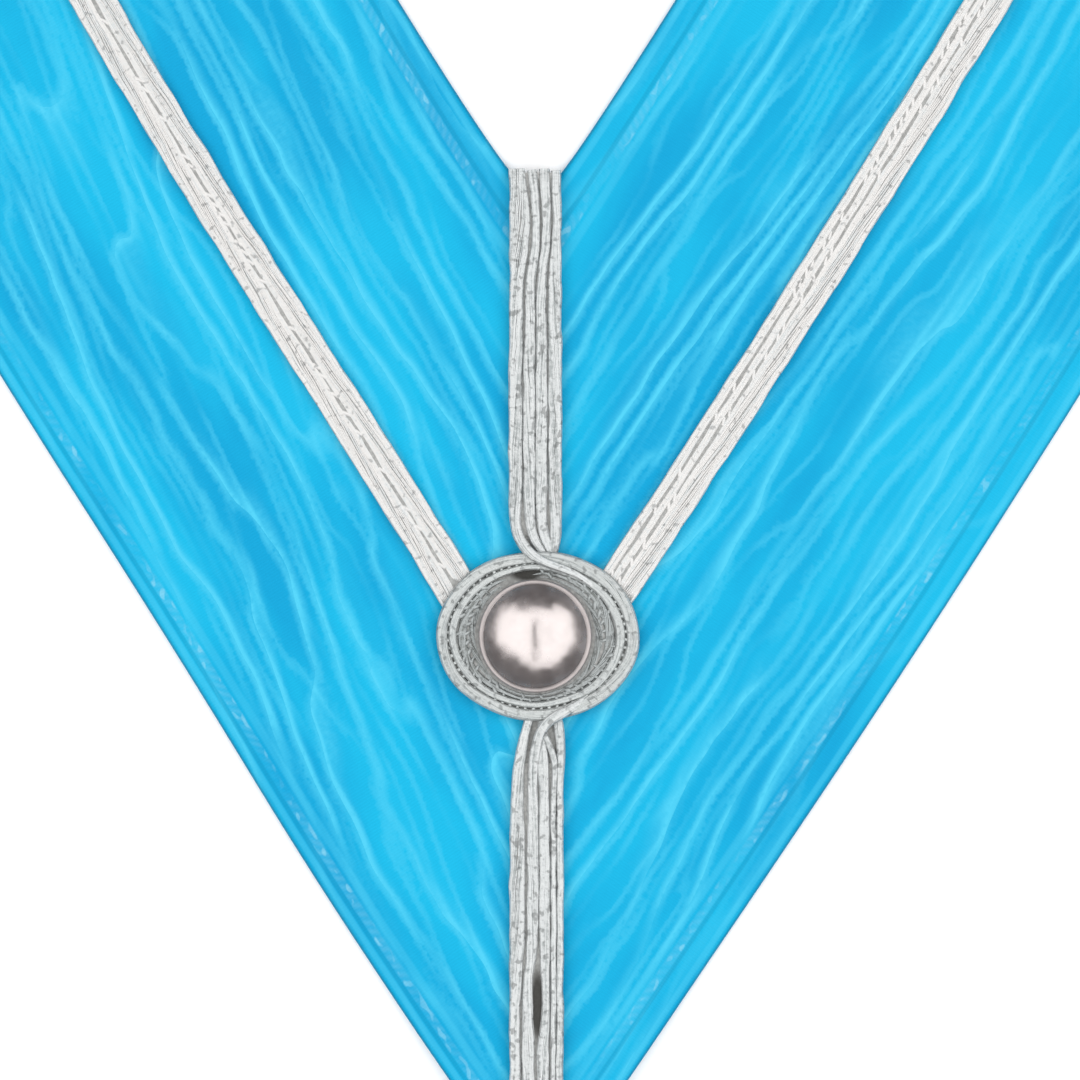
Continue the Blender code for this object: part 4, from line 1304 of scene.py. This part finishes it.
def centre_ground(word):
    """The woven strips that the centre braid's cords lie on, narrower where the cords cross."""
    forward = np.arange(-RUN_ON, CENTRE_BRAID_TOP + RUN_ON, 0.0005)
    still = np.zeros_like(forward)
    path = Path(forward, np.stack([still, forward], axis=1), np.tile([1.0, 0.0], (len(forward), 1)), still)
    made = []
    for number, strip in enumerate(CENTRE_STRIPS[word]):
        middle = (strip.left + strip.right) / 2
        top = GROUND_HIGH - STRIP_DROP * number
        lanes = [(strip.left, GROUND_LOW), (middle, GROUND_LOW), (strip.right, GROUND_LOW),
                 (strip.right, top), (middle, top), (strip.left, top)]

        def room(x, y):
            past = (y - POINT_MARGIN - 0.001) * POINT_SLOPE + POINT_BLUNTNESS - np.abs(x)
            ends = np.minimum(y - strip.near, strip.far - y)
            return ends if word == "upper" else np.minimum(ends, past)

        made.append(band_rings(path, lanes, room, 60))
    return made


def ring_ground():
    """The oval of woven strip under the rosette's cords."""
    rings = []
    for share, height in ((0.06, GROUND_LOW), (0.06, GROUND_HIGH), (0.5, GROUND_HIGH), (1.06, GROUND_HIGH),
                          (1.06, GROUND_LOW), (0.5, GROUND_LOW)):
        rings.append(ring_line(share, share * 1.02, height - BRAID_BASE, 96))
    return np.stack(rings, axis=1)


def turned_mesh(name, outline, segments, material):
    """Turn an outline of radius and height pairs round the rosette's middle."""
    build = bmesh.new()
    rows = []
    turn = np.arange(segments) * TAU / segments
    for radius, height in outline:
        count = segments if radius else 1
        ring = np.column_stack([
            radius * np.cos(turn[:count]), radius * np.sin(turn[:count]) + ROSETTE_FORWARD,
            np.full(count, BRAID_BASE + height)])
        rows.append([build.verts.new(corner) for corner in on_frame(ring)])
    for above, below in zip(rows, rows[1:]):
        for place in range(segments):
            after = (place + 1) % segments
            corners = [above[place % len(above)], above[after % len(above)],
                       below[after % len(below)], below[place % len(below)]]
            build.faces.new(list(dict.fromkeys(corners)))
    return built_mesh(name, build, material, math.radians(60))


def button_outline():
    """The button's outline: its dome, the rounded rim, the back and the shank."""
    flat = np.linspace(0.0, 1.0, DOME_STEPS)
    reach = DOME_RADIUS / DOME_SPREAD
    drop = (1 - np.sqrt(1 - (flat * reach) ** 2)) / (1 - math.sqrt(1 - reach ** 2))
    dome = [
        (DOME_RADIUS * share, DOME_FOOT + DOME_HEIGHT - DOME_DROP * fall) for share, fall in zip(flat, drop)]
    bead = [
        (BEAD_MIDDLE + BEAD_RADIUS * math.cos(turn), BEAD_FORWARD + BEAD_RADIUS * math.sin(turn))
        for turn in np.linspace(math.radians(92), math.radians(-90), 12)]
    return [*dome, *bead, *BUTTON_BACK]


def arc(radius, forward, span, steps):
    """Points along an arc whose middle lies on the collar's middle line."""
    turn = np.linspace(*span, steps)
    return np.stack([np.cos(turn) * radius, np.sin(turn) * radius + forward], axis=1)


def hook_route():
    """The middle of the wire: round the eye, down the shank and round the bend to its turned-out end."""
    eye = arc(EYE_RADIUS, EYE_FORWARD, EYE_ARC, 40)
    bend = arc(BEND_RADIUS, BEND_FORWARD, BEND_ARC, 40)
    return np.concatenate([eye, HOOK_SHANK, bend, HOOK_TURNED_END])


def hook_mesh(material):
    """The hook's wire, with its two ends rounded off."""
    knots = hook_route()
    measured = measure(knots)
    spots = np.arange(0, measured[-1], 0.0004)
    line = placed(spots, measured, knots)
    for _ in range(2):
        line[1:-1] = (line[:-2] + 2 * line[1:-1] + line[2:]) / 4
    ahead = np.gradient(line, axis=0)
    ahead /= np.linalg.norm(ahead, axis=1)[:, None]
    aside = np.stack([-ahead[:, 1], ahead[:, 0]], axis=1)
    from_end = np.minimum(spots, spots[-1] - spots) / WIRE_RADIUS
    radius = WIRE_RADIUS * np.sqrt(np.clip(1 - (1 - np.minimum(from_end, 1)) ** 2, 0.04, 1))
    turn = np.arange(16) * TAU / 16
    rings = np.zeros((len(spots), 16, 3))
    for corner, angle in enumerate(turn):
        rings[:, corner, :2] = line + aside * (radius * math.cos(angle))[:, None]
        rings[:, corner, 2] = WIRE_RADIUS + radius * math.sin(angle)
    return loft_mesh("collar_hook", [rings], material)


# The operators, one for each piece or group of like pieces


def settings_of(context, word):
    """The user's settings for one group of pieces."""
    return getattr(context.scene, word)


class COLLAR_OT_cloth(bpy.types.Operator):
    """Make the two halves of watered ribbon"""
    bl_idname = "collar.cloth"
    bl_label = "Ribbon cloth"

    def execute(self, context):
        material = cloth_material(settings_of(context, "collar_cloth"))
        for word in LIES:
            mesh, length, mean_length = ribbon_mesh(word, material)
            cloth = settle(add_piece(mesh.name, mesh), "moire_ribbon", f"ribbon_{word}")
        return {"FINISHED"}


def braid_materials(settings):
    """The silver thread in its four colourings, for the side braids, the centre braid with a painted bluish cast of
    light from the cloth, the rosette's outer turns, and its inner turns darkened as painted shade, and the ground,
    made once.
    """
    made = bpy.data.materials
    if "silver_wound_thread" not in made:
        thread_material("side_wound_thread", settings.side_silver, settings.light, 0.15, 0.61, 0.2)
        # The centre braid's silver has a painted bluish cast of light from the blue cloth
        thread_material("silver_wound_thread", settings.light, settings.dull, 0.25, 0.58)
        thread_material("rosette_wound_thread", settings.ring, settings.dull, 0.25, 0.58)
        # Painted shade: the rosette's inner turns are given darker colours for the dome's shade over them
        thread_material("shaded_inner_wound_thread", settings.dull, settings.shade, 0.35, 0.60, 0.5)
        ground_material(settings)
    names = ("side_wound_thread", "silver_wound_thread", "rosette_wound_thread", "shaded_inner_wound_thread",
             "braid_ground_cotton")
    return [made[name] for name in names]


class COLLAR_OT_side_braids(bpy.types.Operator):
    """Lay the side braids along the middle of each half"""
    bl_idname = "collar.side_braids"
    bl_label = "Side braids"

    def execute(self, context):
        settings = settings_of(context, "collar_braid")
        thread, *_, ground = braid_materials(settings)
        for seed, word in enumerate(LIES):
            cords = side_cords(word, settings.step * SIDE_STEP_SHARE)
            piece = make_cords(f"side_cords_{word}", cords, thread, settings, seed)
            settle(piece, "silver_braid", f"side_braid_{word}")
            forms = [side_ground(word), *map(core_rings, cords)]
            mesh = loft_mesh(f"side_ground_{word}", forms, ground)
            settle(add_piece(mesh.name, mesh), "silver_braid_shade")
        return {"FINISHED"}


class COLLAR_OT_centre_braids(bpy.types.Operator):
    """Lay the centre braid over the front seam, above and below the rosette"""
    bl_idname = "collar.centre_braids"
    bl_label = "Centre braid"

    def execute(self, context):
        settings = settings_of(context, "collar_braid")
        _, thread, *_, ground = braid_materials(settings)
        for seed, word in enumerate(("upper", "lower")):
            cords = centre_cords(word, settings.step)
            piece = make_cords(f"centre_cords_{word}", cords, thread, settings, seed + 2)
            settle(piece, "silver_braid", f"centre_braid_{word}")
            forms = [*centre_ground(word), *map(core_rings, cords)]
            mesh = loft_mesh(f"centre_ground_{word}", forms, ground)
            settle(add_piece(mesh.name, mesh), "silver_braid_shade")
        return {"FINISHED"}


class COLLAR_OT_rosette(bpy.types.Operator):
    """Coil the braid round the button in four turns"""
    bl_idname = "collar.rosette"
    bl_label = "Rosette"

    def execute(self, context):
        settings = settings_of(context, "collar_braid")
        *_, thread, shaded_inner, ground = braid_materials(settings)
        fine = settings.step * ROSETTE_STEP_SHARE
        turns = ring_cords(OUTER_RING, fine)
        coils = ring_cords(INNER_RING, fine)
        outer = make_cords("rosette_cords_outer", turns, thread, settings, 4)
        settle(outer, "silver_braid", "rosette_outer_braid")
        inner = make_cords("rosette_cords_inner", coils, shaded_inner, settings, 5, 0.8)
        settle(inner, "silver_braid_shade", "rosette_inner_braid")
        forms = [ring_ground(), *map(core_rings, turns + coils)]
        mesh = loft_mesh("rosette_ground", forms, ground, closed=True)
        settle(add_piece(mesh.name, mesh), "silver_braid_shade")
        return {"FINISHED"}


class COLLAR_OT_button(bpy.types.Operator):
    """Turn the domed button with its rim and shank"""
    bl_idname = "collar.button"
    bl_label = "Button"

    def execute(self, context):
        metal = settings_of(context, "collar_metal")
        material = metal_material("plated_brass_button", metal.button, 0.23, 0.004, dull_rim=True)
        mesh = turned_mesh("collar_button", button_outline(), 96, material)
        settle(add_piece(mesh.name, mesh), "button_metal", "button")
        return {"FINISHED"}


class COLLAR_OT_hook(bpy.types.Operator):
    """Bend the jewel hook and bind its eye under the point"""
    bl_idname = "collar.hook"
    bl_label = "Hook"

    def execute(self, context):
        metal = settings_of(context, "collar_metal")
        material = metal_material("drawn_steel_wire", metal.hook, 0.28, 0.0012)
        mesh = hook_mesh(material)
        settle(add_piece(mesh.name, mesh), "hook_metal", "jewel_hook")
        cloth = settings_of(context, "collar_cloth")
        thread = stitch_material("cotton_binding_thread", cloth.main, cloth.deep)
        eye = arc(EYE_RADIUS, EYE_FORWARD, (math.radians(20), math.radians(160)), 30)
        line = np.column_stack([eye, np.full(len(eye), TIP_LIFT)])
        bare = bare_lines("hook_binding", [Cord(line, 0.0, 0.0, 0.0)])
        binding = grow(bare, stitches_tree(), {
            "Pitch": 0.0006, "Length": 0.0026, "Thread": 0.0003, "Arch": -0.0019,
            "Angle": math.pi / 2, "Unevenness": 0.06, "Seed": 9, "Material": thread})
        settle(binding, "moire_ribbon")
        return {"FINISHED"}


class StitchRow(NamedTuple):
    """One run of stitches: its name, its lines, and how the stitches lie."""
    name: str
    lines: list
    slot: str
    values: dict


def stitch_rows():
    """Every run of stitches on the collar's upper side."""
    rows = []
    for word, lie in LIES.items():
        path = ribbon_path(lie)
        grooves = []
        for low, high in zip(lie.cords, lie.cords[1:]):
            grooves.append((low.aside + low.half_width + high.aside - high.half_width) / 2)
        lines = []
        for aside in grooves:
            points = path.points + path.inwards * (lie.braid_inwards + aside)
            room = np.minimum(points[:, 0] * lie.side - 0.001, outside_rosette(*points.T, 0.0004))
            _, line = cut_to(path.along, points, room, 300)
            lines.append(np.column_stack([line, np.full(len(line), BRAID_BASE + 0.0010)]))
        rows.append(StitchRow(f"bridge_stitches_{word}", lines, "silver_braid", {
            "Pitch": 0.0021, "Length": 0.0014, "Thread": 0.0006, "Arch": 0.0001,
            "Angle": math.radians(14), "Unevenness": 0.4,
            "Left out": 0.62 if word == "left" else 0.55, "Seed": 3 + lie.side}))
    ring = [ring_line(0.290, 0.464, 0.0015)]
    rows.append(StitchRow("rosette_stitches", ring, "silver_braid", {
        "Pitch": 0.0015, "Length": 0.0011, "Thread": 0.0007, "Arch": 0.0001,
        "Angle": math.radians(80), "Unevenness": 0.2, "Left out": 0.06, "Seed": 6}))
    inner = [
        ring_line(*shares, clear=SLACK_CLEAR) for shares in ((0.518, 0.738, 0.0014), (0.765, 0.885, 0.0011))]
    rows.append(StitchRow("rosette_stitches_inner", inner, "silver_braid_shade", {
        "Pitch": 0.0017, "Length": 0.0010, "Thread": 0.0006, "Arch": 0.0002,
        "Angle": math.radians(-65), "Unevenness": 0.45, "Left out": 0.25, "Seed": 8}))
    return rows


class COLLAR_OT_stitches(bpy.types.Operator):
    """Sew the stitches that bridge the grooves between the cords"""
    bl_idname = "collar.stitches"
    bl_label = "Stitches"

    def execute(self, context):
        side_silver, _, thread, shaded_inner, _ = braid_materials(settings_of(context, "collar_braid"))
        for row in stitch_rows():
            closed = row.name == "rosette_stitches"
            lines = [Cord(line, 0.0, 0.0, 0.0, closed) for line in row.lines]
            material = shaded_inner if row.slot == "silver_braid_shade" else thread if closed else side_silver
            values = {**row.values, "Material": material}
            sewn = grow(bare_lines(row.name, lines), stitches_tree(), values)
            settle(sewn, row.slot)
        return {"FINISHED"}


class COLLAR_OT_stage(bpy.types.Operator):
    """Set the floor, the light panels, the room and the camera"""
    bl_idname = "collar.stage"
    bl_label = "Stage"

    def execute(self, context):
        scene = context.scene
        stage = settings_of(context, "collar_stage")
        build = bmesh.new()
        bmesh.ops.create_grid(build, x_segments=8, y_segments=8, size=FLOOR_HALF)
        mesh = bpy.data.meshes.new("floor")
        build.to_mesh(mesh)
        build.free()
        mesh.transform(Matrix.Translation((0.0, 0.0, FLOOR_HEIGHT)))
        mesh.materials.append(floor_material(stage))
        add_piece("floor", mesh)
        for number, edges in enumerate(LIGHT_PANELS):
            light = bpy.data.lights.new(f"panel_{number}", "AREA")
            light.shape = "RECTANGLE"
            light.size = edges.right - edges.left
            light.size_y = edges.far - edges.near
            light.energy = stage.panel * math.pi * light.size * light.size_y
            panel = bpy.data.objects.new(light.name, light)
            panel.location = ((edges.left + edges.right) / 2, (edges.near + edges.far) / 2, PANEL_HEIGHT)
            panel.visible_camera = False
            scene.collection.objects.link(panel)
        scene.world = bpy.data.worlds.new("room")
        scene.world.use_nodes = True
        backdrop = scene.world.node_tree.nodes["Background"]
        backdrop.inputs["Color"].default_value = rgba(stage.surroundings)
        camera = bpy.data.cameras.new("camera")
        camera.sensor_width = SENSOR_WIDTH
        camera.lens = SENSOR_WIDTH * stage.view_distance / stage.view_width
        camera.clip_start = 0.01
        view = bpy.data.objects.new("camera", camera)
        view.location = (*VIEW_MIDDLE, VIEW_LEVEL + stage.view_distance)
        scene.collection.objects.link(view)
        scene.camera = view
        scene.view_settings.view_transform = "Standard"
        return {"FINISHED"}


OPERATORS = (
    COLLAR_OT_stage, COLLAR_OT_cloth, COLLAR_OT_side_braids, COLLAR_OT_centre_braids, COLLAR_OT_rosette,
    COLLAR_OT_button, COLLAR_OT_hook, COLLAR_OT_stitches,
)


class COLLAR_PT_panel(bpy.types.Panel):
    """Lists the collar's settings and pieces in the sidebar"""
    bl_idname = "COLLAR_PT_panel"
    bl_label = "Collar"
    bl_space_type = "VIEW_3D"
    bl_region_type = "UI"
    bl_category = "Collar"

    def draw(self, context):
        for word, kind in SETTINGS.items():
            box = self.layout.box()
            for name in kind.__annotations__:
                box.prop(getattr(context.scene, word), name)
        for operator in OPERATORS:
            self.layout.operator(operator.bl_idname)


def register():
    for kind in (*SETTINGS.values(), *OPERATORS, COLLAR_PT_panel):
        bpy.utils.register_class(kind)
    for word, kind in SETTINGS.items():
        setattr(bpy.types.Scene, word, bpy.props.PointerProperty(type=kind))


def unregister():
    for word in SETTINGS:
        delattr(bpy.types.Scene, word)
    for kind in (COLLAR_PT_panel, *OPERATORS[::-1], *list(SETTINGS.values())[::-1]):
        bpy.utils.unregister_class(kind)


def main():
    register()
    for operator in OPERATORS:
        group, name = operator.bl_idname.split(".")
        getattr(getattr(bpy.ops, group), name)()
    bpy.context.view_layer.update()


if __name__ == "__main__":
    main()
